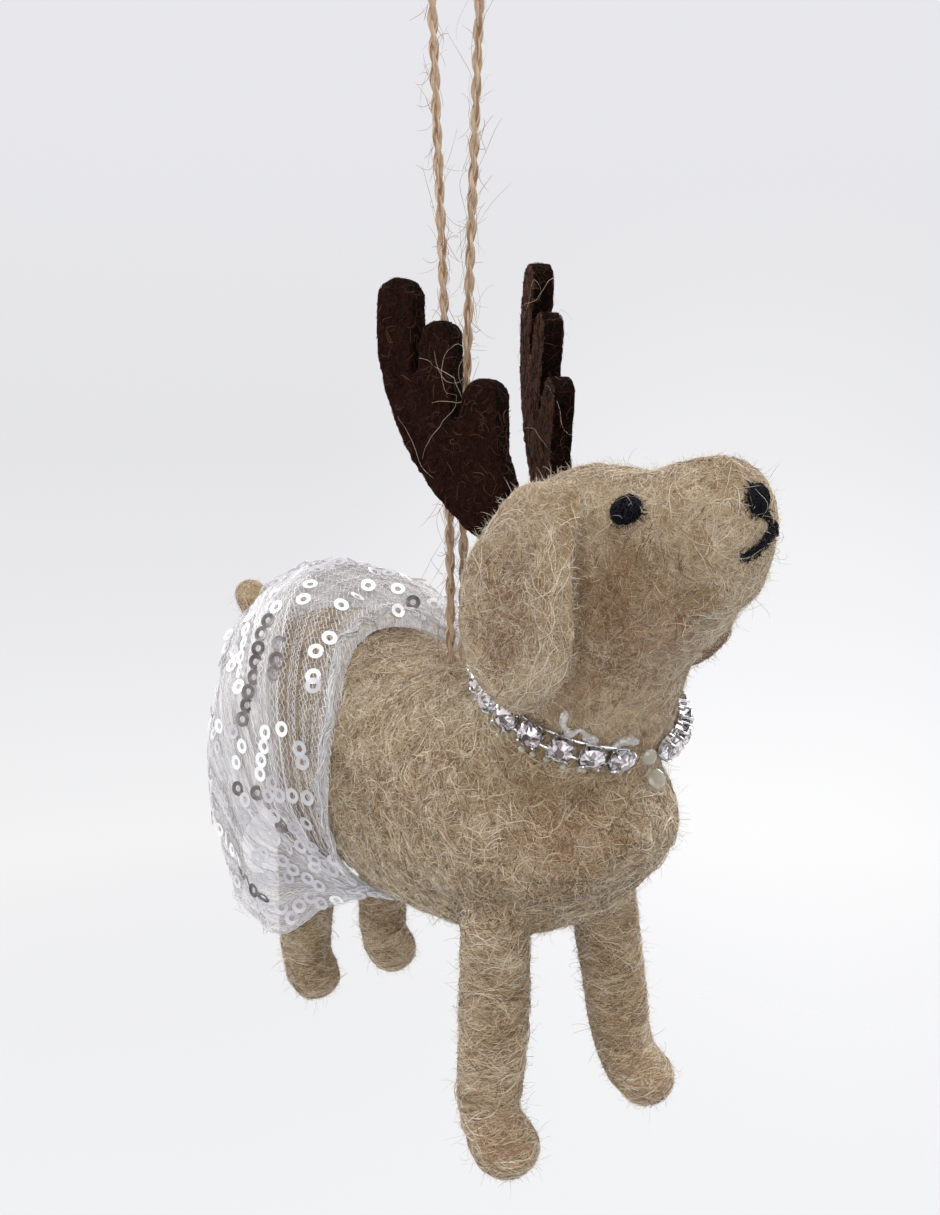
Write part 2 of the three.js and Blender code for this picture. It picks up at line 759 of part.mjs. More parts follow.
// Stones: a flat table, a sloping crown, a thin girdle and a pointed pavilion, in eight facets.
const girdleHalf = stoneCrown / 8;
const tableRadius = stoneDiameter / 4;
const stoneFacets = 8;
for (let index = 0; index < cupCount; index++) {
  const stone = new THREE.LatheGeometry(
    [
      new THREE.Vector2(0, -stonePavilion),
      new THREE.Vector2(stoneDiameter / 2, -girdleHalf),
      new THREE.Vector2(stoneDiameter / 2, girdleHalf),
      new THREE.Vector2(tableRadius, stoneCrown),
      new THREE.Vector2(0, stoneCrown),
    ],
    stoneFacets,
  ).rotateX(Math.PI / 2).translate(0, 0, girdleRise);
  const number = String(index + 1).padStart(2, "0");
  place(necklace, `stone_${number}`, solidOf(stone, cupFrame(index)), crystal);
}

// Glue: beads that lie on the wool and stop short of the chain.
const bodyGrown = headGrown.add(torsoGrown);
const neckMesh = new THREE.Mesh(geometryOf(head.add(torso)));
const chainBand = new THREE.CylinderGeometry(farOut, farOut, cupWidth + 2 * seatGap, 24);
chainBand.rotateX(Math.PI / 2);

function onNeck([angle, height]) {
  const turn = THREE.MathUtils.degToRad(angle);
  const outward = new THREE.Vector3(Math.cos(turn), Math.sin(turn), 0);
  const from = outward.clone().multiplyScalar(farOut).setZ(height);
  necklace.updateMatrix();
  const inward = outward.clone().negate().transformDirection(necklace.matrix);
  const [hit] = new THREE.Raycaster(from.applyMatrix4(necklace.matrix), inward).intersectObject(neckMesh);
  return hit.point;
}

function bead(point, radius) {
  return solidOf(new THREE.SphereGeometry(radius, 9, 6).translate(...point));
}

for (const [word, points] of Object.entries(glueRuns)) {
  const middles = points.map(onNeck);
  const run = solidOf(tube(curveThrough(middles), glueRunRadius, 5, 7));
  const ends = [middles[0], middles[middles.length - 1]].map((point) => bead(point, glueRunRadius));
  const band = solidOf(chainBand, necklace.matrix);
  place(dog, `glue_run_${word}`, joined([run, ...ends]).subtract(bodyGrown).subtract(band), clearGlue);
}
for (const [word, { spot, radius }] of Object.entries(glueDrops)) {
  place(dog, `glue_drop_${word}`, bead(onNeck(spot), radius).subtract(bodyGrown), clearGlue);
}

// Skirt: oval sections on a fan of planes about a line under the belly. The waist's plane and
// the hem's are given at the back, at the flanks and under the belly, in degrees from upright.
const waistAngles = { back: 11, flank: -4 };
const hemAngles = { back: 76, flank: 105, belly: 22 };
const flankTurn = 110; // degrees round the oval from the back to where the hem hangs lowest

function skirtEdges(angle) {
  const turn = Math.abs(THREE.MathUtils.radToDeg(Math.atan2(Math.sin(angle), Math.cos(angle))));
  const toFlank = THREE.MathUtils.smoothstep(turn, 0, flankTurn);
  const toBelly = THREE.MathUtils.smoothstep(turn, flankTurn, 180);
  const rear = THREE.MathUtils.lerp(hemAngles.back, hemAngles.flank, toFlank);
  return {
    waist: THREE.MathUtils.lerp(waistAngles.back, waistAngles.flank, Math.sin(angle) ** 2),
    hem: THREE.MathUtils.lerp(rear, hemAngles.belly, toBelly),
  };
}

function skirtPoint(along, angle, inset) {
  const { waist, hem } = skirtEdges(angle);
  const fan = THREE.MathUtils.degToRad(THREE.MathUtils.lerp(waist, hem, along));
  const swell = Math.sin(Math.PI * along ** skirtSwellShare);
  const reach = THREE.MathUtils.lerp(skirtWaistReach, skirtHemReach, along)
    + swell * (skirtFullReach - (skirtWaistReach + skirtHemReach) / 2);
  const halfWidth = THREE.MathUtils.lerp(skirtWaistHalfWidth, skirtHemHalfWidth, along)
    + swell * (skirtHalfWidth - (skirtWaistHalfWidth + skirtHemHalfWidth) / 2);
  const fold = foldDepth * along * Math.cos(foldCount * angle);
  const half = (reach - skirtBellyGap) / 2;
  const outwards = skirtBellyGap + half + (half - inset + fold) * Math.cos(angle);
  const across = (halfWidth - inset + fold) * Math.sin(angle);
  return new THREE.Vector3(
    -skirtPivotSetback - outwards * Math.sin(fan),
    across,
    -skirtPivotDrop + outwards * Math.cos(fan),
  );
}

function skirtForm() {
  const columns = 44;
  const rows = 11;
  const points = [];
  for (const inset of [0, clothThickness]) {
    for (let row = 0; row <= rows; row++) {
      for (let column = 0; column < columns; column++) {
        points.push(skirtPoint(row / rows, (2 * Math.PI * column) / columns, inset));
      }
    }
  }
  const layer = (rows + 1) * columns;
  const faces = [];
  const quad = (a, b, c, d) => faces.push(a, b, c, a, c, d);
  for (let column = 0; column < columns; column++) {
    const next = (column + 1) % columns;
    for (let row = 0; row < rows; row++) {
      const low = row * columns;
      const high = low + columns;
      quad(low + column, low + next, high + next, high + column);
      quad(layer + low + next, layer + low + column, layer + high + column, layer + high + next);
    }
    const hem = rows * columns;
    quad(layer + column, layer + next, next, column);
    quad(hem + column, hem + next, layer + hem + next, layer + hem + column);
  }
  return facingOut(points, faces);
}
place(dog, "skirt", solidOf(skirtForm()).subtract(solidOf(tailForm(2 * seatGap))), sequinNet);

const root = new THREE.Group();
root.add(dog);

// Twine: one strand from the back, up over the hook and down again, in the loop's own plane.
const twineRoute = [
  [-0.95, -96.4], [-0.95, -92], [-0.95, -86], [-0.98, -80], [-1.05, -74], [-1.15, -68],
  [-1.28, -62], [-1.45, -55], [-1.68, -47], [-1.95, -39], [-2.25, -31], [-2.55, -23],
  [-2.85, -15], [-3.1, -8], [-3.2, -2.6], [-2.55, -0.2], [-1.3, 0.65], [0, 0.8],
  [1.3, 0.65], [2.55, -0.2], [3.2, -2.6], [3.1, -8], [2.85, -15], [2.55, -23],
  [2.25, -31], [1.95, -39], [1.68, -47], [1.45, -55], [1.28, -62], [1.15, -68],
  [1.05, -74], [0.98, -80], [0.95, -86], [0.95, -92], [0.95, -96.4],
];
const loop = new THREE.Group();
loop.rotation.z = THREE.MathUtils.degToRad(loopAngle);
root.add(loop);
const twineCurve = curveThrough(twineRoute.map(([across, rise]) => new THREE.Vector3(across, 0, rise)));
place(loop, "hanging_twine", tube(twineCurve, twineDiameter / 2, 80, 8), jute);

export default root;
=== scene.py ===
"""Looks of a hanging needle felted dog: wool, felt, twine, cup chain and sequin net.

Lengths are written in mm and turned into metres with MM. Places on the dog are written from the
dog's back, where the twine goes in, and turned into the row frame by dog_point."""

import math

import bpy
import numpy as np
from mathutils import Euler, Matrix, Vector
from mathutils.bvhtree import BVHTree


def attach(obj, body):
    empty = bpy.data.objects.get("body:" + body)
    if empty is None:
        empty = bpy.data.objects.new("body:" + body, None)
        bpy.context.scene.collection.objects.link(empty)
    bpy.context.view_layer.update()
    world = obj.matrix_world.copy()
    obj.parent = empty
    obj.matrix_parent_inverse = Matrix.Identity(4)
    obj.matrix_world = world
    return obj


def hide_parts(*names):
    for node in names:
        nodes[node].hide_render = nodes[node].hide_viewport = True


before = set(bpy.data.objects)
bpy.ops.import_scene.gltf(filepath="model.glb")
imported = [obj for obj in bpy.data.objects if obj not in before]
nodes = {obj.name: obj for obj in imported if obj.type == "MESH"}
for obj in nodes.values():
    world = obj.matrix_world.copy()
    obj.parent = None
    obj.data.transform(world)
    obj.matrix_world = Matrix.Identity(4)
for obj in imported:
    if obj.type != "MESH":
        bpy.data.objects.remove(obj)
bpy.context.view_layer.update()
MM = 0.001
DROP = 96.4  # from the hanging point down to the dog's back


def dog_point(x, y, z):
    """A place on the dog in mm, in metres in the row frame."""
    return Vector((x, y, z - DROP)) * MM


# Camera

scene = bpy.context.scene
camera = bpy.data.objects.new("camera", bpy.data.cameras.new("camera"))
scene.collection.objects.link(camera)
camera.data.sensor_fit = "VERTICAL"
camera.data.sensor_height = 36
camera.data.lens = 34.07
camera.data.clip_start = 0.005
camera.data.clip_end = 20
camera.location = dog_point(131.2, -102.6, 34.5)
camera.rotation_euler = Euler((math.radians(81), 0, math.radians(51.31)))
scene.camera = camera


# Meshes


def piece(name, mesh, material, body, slot, *stands_for, smooth=True):
    """A new piece on its body, with the CAD nodes that it replaces. Its slot is not used."""
    made = bpy.data.objects.new(name, mesh)
    scene.collection.objects.link(made)
    mesh.materials.clear()
    mesh.materials.append(material)
    if smooth:
        mesh.polygons.foreach_set("use_smooth", np.ones(len(mesh.polygons), dtype=bool))
    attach(made, body)
    if stands_for:
        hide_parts(*stands_for)
    return made


def mesh_from(name, points, faces):
    """A mesh from arrays of points and of equally long faces."""
    points = np.asarray(points, dtype=np.float32).reshape(-1, 3)
    faces = np.asarray(faces, dtype=np.int32)
    count, corners = faces.shape
    mesh = bpy.data.meshes.new(name)
    mesh.vertices.add(len(points))
    mesh.vertices.foreach_set("co", points.ravel())
    mesh.loops.add(count * corners)
    mesh.loops.foreach_set("vertex_index", faces.ravel())
    mesh.polygons.add(count)
    mesh.polygons.foreach_set("loop_start", np.arange(count, dtype=np.int32) * corners)
    mesh.update(calc_edges=True)
    return mesh


def rows_of(elements, key, kind=np.float32):
    """What a mesh's vertices, polygons or triangles hold under a key of three numbers."""
    values = np.empty(len(elements) * 3, dtype=kind)
    elements.foreach_get(key, values)
    return values.reshape(-1, 3)


def arrays_of(mesh):
    """A mesh's points and its triangles."""
    mesh.calc_loop_triangles()
    return rows_of(mesh.vertices, "co"), rows_of(mesh.loop_triangles, "vertices", np.int32)


def move_points(mesh, points):
    mesh.vertices.foreach_set("co", points.astype(np.float32).ravel())
    mesh.update()


def joined_mesh(name, meshes):
    """One mesh from several, as triangles."""
    points, faces, base = [], [], 0
    for mesh in meshes:
        p, f = arrays_of(mesh)
        points.append(p)
        faces.append(f + base)
        base += len(p)
    return mesh_from(name, np.concatenate(points), np.concatenate(faces))


class Gather:
    """Collects points and faces for one mesh, with a number for each face."""

    def __init__(self):
        self.points, self.faces, self.tags = [], [], []
        self.base = 0

    def add(self, points, faces, tag=0.0):
        self.points.append(np.asarray(points, dtype=float))
        for i, face in enumerate(faces):
            self.faces.append([v + self.base for v in face])
            self.tags.append(tag[i] if hasattr(tag, "__len__") else tag)
        self.base += len(points)

    def mesh(self, name, attribute=None):
        made = bpy.data.meshes.new(name)
        made.from_pydata(np.concatenate(self.points).tolist(), [], self.faces)
        if attribute:
            layer = made.attributes.new(attribute, "FLOAT", "FACE")
            layer.data.foreach_set("value", np.array(self.tags, dtype=np.float32))
        made.update()
        return made


def remeshed(voxel):
    return "REMESH", {"mode": "VOXEL", "voxel_size": voxel * MM, "use_smooth_shade": True}


def smoothed(times):
    return "SMOOTH", {"factor": 0.5, "iterations": times}


def swollen(depth):
    return "DISPLACE", {"strength": depth * MM, "mid_level": 0.0}


def bumped(name, size, height):
    """Soft bumps of a size and height."""
    texture = bpy.data.textures.new(name, "CLOUDS")
    texture.noise_scale = size * MM
    texture.noise_depth = 2
    return "DISPLACE", {
        "texture": texture, "texture_coords": "LOCAL", "strength": height * MM, "mid_level": 0.5,
    }


def shaped(mesh, modifiers):
    """The mesh after a list of (modifier type, settings)."""
    scratch = bpy.data.objects.new("scratch", mesh)
    scene.collection.objects.link(scratch)
    for kind, settings in modifiers:
        modifier = scratch.modifiers.new(kind, kind)
        for key, value in settings.items():
            setattr(modifier, key, value)
    depsgraph = bpy.context.evaluated_depsgraph_get()
    made = bpy.data.meshes.new_from_object(scratch.evaluated_get(depsgraph))
    bpy.data.objects.remove(scratch)
    return made


def soft_form(name, node_names, voxel, smoothing, bumps, grow=0.0, also=(), closing=0.0):
    """The CAD solids, with any other meshes, as one soft form: remeshed, smoothed, and displaced
    by bumps of (size, height). closing fills creases narrower than twice its length."""
    mesh = joined_mesh(name, [nodes[n].data for n in node_names] + list(also))
    steps = [remeshed(voxel)]
    if closing:
        steps += [swollen(closing), remeshed(voxel), smoothed(smoothing), swollen(-closing)]
    steps.append(smoothed(smoothing))
    steps += [bumped(f"{name}_bumps_{i}", *bump) for i, bump in enumerate(bumps)]
    if grow:
        steps.append(swollen(grow))
    return shaped(mesh, steps)


# Fibres


class Surface:
    """A mesh that fibres grow along."""

    def __init__(self, mesh):
        self.points, self.faces = arrays_of(mesh)
        self.tree = BVHTree.FromPolygons(self.points.tolist(), self.faces.tolist())
        a, b, c = (self.points[self.faces[:, i]] for i in range(3))
        self.areas = np.linalg.norm(np.cross(b - a, c - a), axis=1)
        self.area = self.areas.sum() / 2

    def seeds(self, rng, count, wanted=None):
        """Random points spread evenly over the faces, or by how much each is wanted."""
        weights = self.areas
        if wanted is not None:
            weights = weights * wanted(self.points[self.faces].mean(axis=1))
        picks = rng.choice(len(self.faces), count, p=weights / weights.sum())
        u, v = rng.random((2, count, 1))
        flip = u + v > 1
        u, v = np.where(flip, 1 - u, u), np.where(flip, 1 - v, v)
        a, b, c = (self.points[self.faces[picks, i]] for i in range(3))
        return a + u * (b - a) + v * (c - a)

    def onto(self, points):
        """The nearest surface points and their normals."""
        where, normals = np.empty_like(points), np.empty_like(points)
        for i, p in enumerate(points):
            where[i], normals[i], *_ = self.tree.find_nearest(p)
        return where, normals


def unit(v):
    return v / np.maximum(np.linalg.norm(v, axis=-1, keepdims=True), 1e-12)


def smoothstep(x, low, high):
    t = np.clip((x - low) / (high - low), 0, 1)
    return t * t * (3 - 2 * t)


def angles_round(count):
    """Angles spread evenly round a circle."""
    return 2 * np.pi * np.arange(count) / count


def distance_along(line):
    """How far each point of a line lies from its start, along it."""
    return np.concatenate([[0], np.cumsum(np.linalg.norm(np.diff(line, axis=0), axis=1))])


def points_at(line, distances, places):
    """A line's points at some places, given the distance of each of its own."""
    return np.stack([np.interp(places, distances, line[:, k]) for k in range(3)], 1)


def turned(v, axis, angle):
    """v turned about a unit axis by an angle, for arrays."""
    c, s = np.cos(angle)[:, None], np.sin(angle)[:, None]
    return v * c + np.cross(axis, v) * s + axis * (axis * v).sum(-1, keepdims=True) * (1 - c)


def some(count):
    """A count of fibres, no fewer than 20."""
    return max(20, int(count * (1)))


def laid_fibres(surface, rng, count, steps, step, lift, curl, ends, comb=None, strength=0.0,
                wanted=None):
    """Lines that wander along a surface, with curl in radians a step. comb gives a wished
    direction at points, and ends lifts each line's ends off the surface."""
    places, normals = surface.onto(surface.seeds(rng, count, wanted))
    heading = unit(np.cross(normals, unit(rng.normal(size=(count, 3)))))
    bend = rng.normal(0, curl, count)
    height = np.abs(rng.normal(0, lift, count))
    end_lift = np.abs(rng.normal(0, ends, (2, count)))
    lines, ups = [], []
    for k in range(steps + 1):
        if comb is not None:
            wish = comb(places)
            wish = wish * np.sign((wish * heading).sum(-1, keepdims=True) + 1e-9)
            heading = unit(heading + strength * wish)
        share = k / steps
        up = (height * (0.25 + math.sin(math.pi * share))
              + end_lift[0] * max(0, 1 - 3 * share) ** 2
              + end_lift[1] * max(0, 3 * share - 2) ** 2)
        lines.append(places + normals * (up * MM)[:, None])
        ups.append(normals)
        if k == steps:
            break
        bend = bend * 0.8 + rng.normal(0, curl * 0.6, count)
        heading = turned(heading, normals, bend)
        places, normals = surface.onto(places + heading * step * MM)
        heading = unit(heading - normals * (heading * normals).sum(-1, keepdims=True))
    return np.stack(lines, 1), np.stack(ups, 1)


def standing_fibres(surface, rng, count, steps, step, curl, wanted=None, lean=0.8):
    """Stray lines that leave a surface and curl in the air."""
    places, normals = surface.onto(surface.seeds(rng, count, wanted))
    heading = unit(normals * (1 - lean) + lean * unit(rng.normal(size=(count, 3)))
                   + normals * 0.25)
    axis = unit(rng.normal(size=(count, 3)))
    bend = rng.normal(0, curl, count)
    reach = step * rng.uniform(0.4, 1.3, count)[:, None] * MM
    at = places - normals * 0.2 * MM
    lines = [at]
    for _ in range(steps):
        at = at + heading * reach
        lines.append(at)
        bend = bend + rng.normal(0, curl * 0.4, count)
        heading = unit(turned(heading, axis, bend))
        axis = unit(axis + 0.25 * rng.normal(size=(count, 3)))
    return np.stack(lines, 1), np.repeat(normals[:, None], steps + 1, 1)


TIP = 0.35  # a fibre's width at its ends, as a share of that at its middle


def tapers(count, steps, rng, width):
    """Half widths along fibres, each a little thinner or thicker than the next."""
    profile = TIP + (1 - TIP) * np.sin(np.pi * np.linspace(0, 1, steps + 1)) ** 0.6
    return width * MM / 2 * profile[None] * rng.uniform(0.65, 1.35, count)[:, None]


def ribbons(name, lines, ups, width, rng, *rest):
    """A piece of flat fibres: two points at each step, turned a little about their own line. rest
    is the piece's material, body and slot."""
    count, rows, _ = lines.shape
    along = unit(np.gradient(lines, axis=1))
    side = unit(np.cross(along, ups))
    face = np.cross(side, along)
    twist = rng.uniform(-0.9, 0.9, count)[:, None, None]
    half = tapers(count, rows - 1, rng, width)[..., None]
    out = (side * np.cos(twist) + face * np.sin(twist)) * half
    points = np.stack([lines - out, lines + out], 2)
    first = (np.arange(count) * rows * 2)[:, None] + 2 * np.arange(rows - 1)[None]
    quads = np.stack([first, first + 1, first + 3, first + 2], -1).reshape(-1, 4)
    return piece(name, mesh_from(name, points, quads), *rest)


def tubes(name, lines, guide, radii, sides):
    """Round tubes along lines (count, rows, 3), with radii (count, rows) in metres."""
    count, rows, _ = lines.shape
    along = unit(np.gradient(lines, axis=1))
    side = unit(np.cross(along, guide))[:, :, None]
    face = np.cross(side, along[:, :, None])
    angles = angles_round(sides)[:, None]
    rim = side * np.cos(angles) + face * np.sin(angles)
    points = lines[:, :, None] + rim * radii[..., None, None]
    first = (np.arange(count) * rows * sides)[:, None, None]
    ring = first + (np.arange(rows - 1) * sides)[None, :, None]
    here = np.arange(sides)[None, None]
    after = (here + 1) % sides
    quads = np.stack([ring + here, ring + after, ring + sides + after, ring + sides + here], -1)
    return mesh_from(name, points, quads.reshape(-1, 4))


def threads(name, lines, width, rng, *rest):
    """A piece of round fibres of three sides that taper at both ends. rest is the piece's
    material, body and slot, and the CAD nodes that it replaces."""
    count, rows, _ = lines.shape
    guide = unit(rng.normal(size=(count, 1, 3)))
    return piece(name, tubes(name, lines, guide, tapers(count, rows - 1, rng, width), 3), *rest)


# Materials


def node(tree, kind, *values, **named):
    """A shader node. Values go to its inputs by their place and capitalised names to its inputs by
    name, as a link where the value is a socket. The other names are the node's settings."""
    made = tree.nodes.new("ShaderNode" + kind)
    given = dict(enumerate(values))
    for key, value in named.items():
        if key[0].isupper():
            given[key.replace("_", " ")] = value
        else:
            setattr(made, key, value)
    for key, value in given.items():
        if isinstance(value, bpy.types.NodeSocket):
            tree.links.new(value, made.inputs[key])
        else:
            made.inputs[key].default_value = value
    return made


def srgb(r, g, b):
    """A colour written as it looks on a screen, 0 to 255, as Blender's linear values."""
    return tuple(
        (c / 255 / 12.92 if c <= 10 else ((c / 255 + 0.055) / 1.055) ** 2.4) for c in (r, g, b)
    )


def ramp(factor, stops, way="LINEAR"):
    """A colour ramp with its stops of (place, linear colour or grey)."""
    made = node(factor.id_data, "ValToRGB", factor)
    made.color_ramp.interpolation = way
    elements = made.color_ramp.elements
    while len(elements) < len(stops):
        elements.new(0.5)
    for element, (place, colour) in zip(elements, stops):
        element.position = place
        element.color = (*(colour if isinstance(colour, tuple) else (colour,) * 3), 1)
    return made.outputs["Color"]


def painted(factor, stops, way="LINEAR"):
    """A colour ramp with its stops of (place, colour from 0 to 255)."""
    return ramp(factor, [(place, srgb(*colour)) for place, colour in stops], way)


def mixed(first, second, kind="MULTIPLY"):
    """Two colours blended."""
    return node(first.id_data, "Mix", data_type="RGBA", blend_type=kind, Factor=1.0, A=first,
                B=second).outputs["Result"]


def scaled(value, factor, offset=0.0):
    """A value times a factor, plus a number or another value."""
    return node(value.id_data, "Math", value, factor, offset,
                operation="MULTIPLY_ADD").outputs["Value"]


class Look:
    """A material, with the constants of its shader, the place on the object, and noise there."""

    def __init__(self, name, **constants):
        self.material = bpy.data.materials.new(name)
        self.material.use_nodes = True
        self.tree = self.material.node_tree
        self.inputs = self.tree.nodes["Principled BSDF"].inputs
        for key, value in constants.items():
            self.inputs[key.replace("_", " ")].default_value = value
        self.place = node(self.tree, "TexCoord").outputs["Object"]

    def noise(self, scale, detail, **more):
        return node(self.tree, "TexNoise", **{"Vector": self.place, **more}, Scale=scale,
                    Detail=detail).outputs["Fac"]

    def cells(self, scale, place, output="Distance"):
        return node(self.tree, "TexVoronoi", Vector=place, Scale=scale).outputs[output]

    def warped(self, scale, detail, reach):
        """The place, moved about by noise over a reach in metres."""
        warp = node(self.tree, "TexNoise", Vector=self.place, Scale=scale, Detail=detail)
        return node(self.tree, "VectorMath", warp.outputs["Color"], (reach,) * 3, self.place,
                    operation="MULTIPLY_ADD").outputs["Vector"]

    def drive(self, key, socket):
        self.tree.links.new(socket, self.inputs[key])

    def bump(self, height, distance):
        made = node(self.tree, "Bump", Strength=0.6, Distance=distance * MM, Height=height)
        self.drive("Normal", made.outputs["Normal"])


def cloth_look(name, roughness, sheen, specular=0.2):
    return Look(name, Roughness=roughness, Sheen_Weight=sheen, Sheen_Roughness=0.5,
                Specular_IOR_Level=specular)


def speckled(name, scale, detail, stops, relief=0.0, **constants):
    """A plain material whose colour, and relief if any, follow a fine noise."""
    look = Look(name, **constants)
    grain = look.noise(scale, detail)
    look.drive("Base Color", painted(grain, stops))
    if relief:
        look.bump(grain, relief)
    return look.material


def needle_pit_shade(look, deep):
    """Painted shade in the pits that the felting needle leaves, as a colour to multiply with."""
    pits = look.cells(560.0, look.warped(760.0, 4.0, 0.0036))
    worked = scaled(look.noise(150.0, 2.0), -0.9, pits)
    return ramp(scaled(worked, 1.0, 0.5), [(0.1, deep), (0.34, 1.0)])


def felt_patches(look):
    """Broad and small patches where the wool lies thinner and browner."""
    broad = ramp(look.noise(85.0, 2.0), [(0.38, (0.74, 0.69, 0.61)), (0.56, 1.0)])
    small = ramp(look.noise(310.0, 3.0), [(0.36, (0.84, 0.79, 0.72)), (0.58, 1.0)])
    return mixed(broad, small)


def wool_base(name, deep, middle, light):
    """Matted wool: fine curled hairs over a warm ground, with painted shade in the needle's pits.
    """
    look = cloth_look(name, 0.95, 0.2)
    bent = look.warped(520.0, 3.0, 0.003)
    hair = look.noise(2400.0, 5.0, Vector=bent, Distortion=2.2)
    matted = scaled(look.cells(620.0, bent), 0.35, hair)
    colour = painted(matted, [(0.42, deep), (0.58, middle), (0.86, light)])
    look.drive("Base Color",
               mixed(mixed(colour, felt_patches(look)), needle_pit_shade(look, (0.5, 0.39, 0.3))))
    look.bump(matted, 0.3)
    return look.material


def fibre_material(name, *colours, roughness=0.8, sheen=0.3, specular=0.2, pitted=False):
    """Single fibres, each with its own colour out of a few."""
    look = cloth_look(name, roughness, sheen, specular)
    island = node(look.tree, "NewGeometry").outputs["Random Per Island"]
    base = painted(island, [(i / (len(colours) - 1), c) for i, c in enumerate(colours)])
    shade = mixed(base, ramp(look.noise(900.0, 1.0), [(0.3, (0.86, 0.84, 0.82)), (0.7, 1.0)]))
    if pitted:
        shade = mixed(shade, felt_patches(look))
        # painted shade in the needle's pits, over the fibres too
        shade = mixed(shade, needle_pit_shade(look, (0.7, 0.59, 0.49)))
    look.drive("Base Color", shade)
    return look.material


def felt_material(name, dark, middle, light, sheen=0.0):
    """Pressed felt with a fine nap."""
    look = cloth_look(name, 0.95, sheen, 0.03)
    look.inputs["Sheen Tint"].default_value = (*srgb(190, 120, 92), 1)
    nap = look.noise(1700.0, 5.0, Roughness=0.7, Distortion=1.2)
    look.drive("Base Color", painted(nap, [(0.36, dark), (0.5, middle), (0.68, light)]))
    look.bump(nap, 0.22)
    return look.material


WOOL = wool_base("wool_matted", (96, 72, 46), (166, 143, 110), (204, 184, 152))
WOOL_FIBRE = fibre_material(
    "wool_fibre", (122, 95, 64), (180, 156, 122), (208, 188, 156), (240, 228, 206),
    (196, 170, 134), sheen=0.4, pitted=True)
WOOL_SOFT = fibre_material(
    "wool_soft_fibre", (176, 151, 118), (194, 172, 140), (208, 190, 160), (222, 206, 180),
    (200, 176, 144), sheen=0.4, pitted=True)
WOOL_STRAY = fibre_material("wool_stray", (200, 184, 158), (226, 216, 198), (180, 159, 130))
WOOL_FUZZ = fibre_material("wool_fuzz", (226, 214, 194), (240, 232, 218), (208, 192, 166),
                           sheen=0.5)
WOOL_BROWN = fibre_material("wool_brown", (134, 98, 68), (156, 118, 84), (116, 86, 60),
                            (174, 138, 106))
WOOL_ROSE = fibre_material("wool_rose", (176, 136, 106), (202, 168, 138), (158, 120, 92))
WOOL_PALE = fibre_material("wool_pale", (216, 200, 174), (230, 218, 197), (202, 183, 154),
                           sheen=0.4)
JUTE = fibre_material("jute_strand", (150, 120, 94), (182, 154, 128), (206, 182, 158),
                      (168, 136, 108), (216, 196, 174), roughness=0.75, sheen=0.15)
JUTE_HAIR = fibre_material("jute_hair", (168, 132, 100), (206, 184, 158), (136, 102, 74))


# Stage

scene.view_settings.view_transform = "Standard"

world = bpy.data.worlds.new("world")
scene.world = world
world.use_nodes = True
sky_tree = world.node_tree
sky_tree.nodes.clear()
# the backdrop is painted brighter low down, with a painted pool of light behind the dog's chest
GLOW_WAY = (-0.6, 0.77, -0.21)
way = node(sky_tree, "TexCoord").outputs["Generated"]
way_up = node(sky_tree, "SeparateXYZ", way).outputs["Z"]
from_glow = node(sky_tree, "VectorMath", way, GLOW_WAY, operation="DISTANCE").outputs["Value"]
backdrop_colour = mixed(
    painted(scaled(way_up, 0.5, 0.5), [
        (0.2, (240, 240, 242)), (0.33, (244, 244, 245)), (0.42, (234, 234, 236)),
        (0.49, (229, 229, 231)), (0.66, (232, 232, 236)),
    ]),
    ramp(from_glow, [(0.1, 0.09), (0.42, 0.0)], "EASE"),
    "ADD",
)
backdrop = node(sky_tree, "Background", Color=backdrop_colour)
sky = node(sky_tree, "Background", Color=(*srgb(226, 228, 233), 1), Strength=0.58)
rays = node(sky_tree, "LightPath").outputs
seen = rays["Is Camera Ray"]
for kind in ("Is Transmission Ray", "Is Glossy Ray"):
    seen = node(sky_tree, "Math", seen, rays[kind], operation="MAXIMUM").outputs["Value"]
choose = node(sky_tree, "MixShader", seen, sky.outputs["Background"],
              backdrop.outputs["Background"])
node(sky_tree, "OutputWorld", Surface=choose.outputs["Shader"])

# lamps: place and size in metres, power in watts
LAMPS = {
    "key": ((0.35, 0.25, 0.75), 0.7, 5.9),
    "fill": ((0.75, -0.6, 0.12), 0.9, 4.5),
    "rim": ((-0.6, -0.4, 0.3), 0.6, 4.9),
    "rim_far": ((-0.3, 0.8, 0.2), 0.6, 4.2),
}
for name, (place, size, power) in LAMPS.items():
    light = bpy.data.lights.new(name, "AREA")
    light.shape = "DISK"
    light.size = size
    light.energy = power
    lamp = bpy.data.objects.new(name, light)
    scene.collection.objects.link(lamp)
    lamp.location = place
    aim = dog_point(0, 0, -15) - Vector(place)
    lamp.rotation_euler = aim.to_track_quat("-Z", "Y").to_euler()

FLOOR_HALF, FLOOR_HEIGHT = 4, -0.42  # metres
ground = bpy.data.meshes.new("floor")
corners = [(x * FLOOR_HALF, y * FLOOR_HALF, FLOOR_HEIGHT)
           for x, y in ((-1, -1), (1, -1), (1, 1), (-1, 1))]
ground.from_pydata(corners, [], [(0, 1, 2, 3)])
floor = bpy.data.objects.new("floor", ground)
scene.collection.objects.link(floor)
paper = Look("floor_paper", Roughness=0.9)
paper_grain = node(paper.tree, "TexNoise", Scale=3.0, Detail=2.0).outputs["Fac"]
paper.drive("Base Color", painted(paper_grain, [(0.3, (207, 207, 208)), (0.7, (211, 211, 212))]))
# the paper fades into the backdrop away from the middle, so that no edge shows behind the object
reach = node(paper.tree, "VectorMath", paper.place, operation="LENGTH").outputs["Value"]
paper.drive("Alpha", ramp(scaled(reach, 0.5), [(0.1, 1.0), (0.5, 0.0)], "EASE"))
ground.materials.append(paper.material)


# Twine: two plies twisted round the loop's route, with fine strands and stray hairs

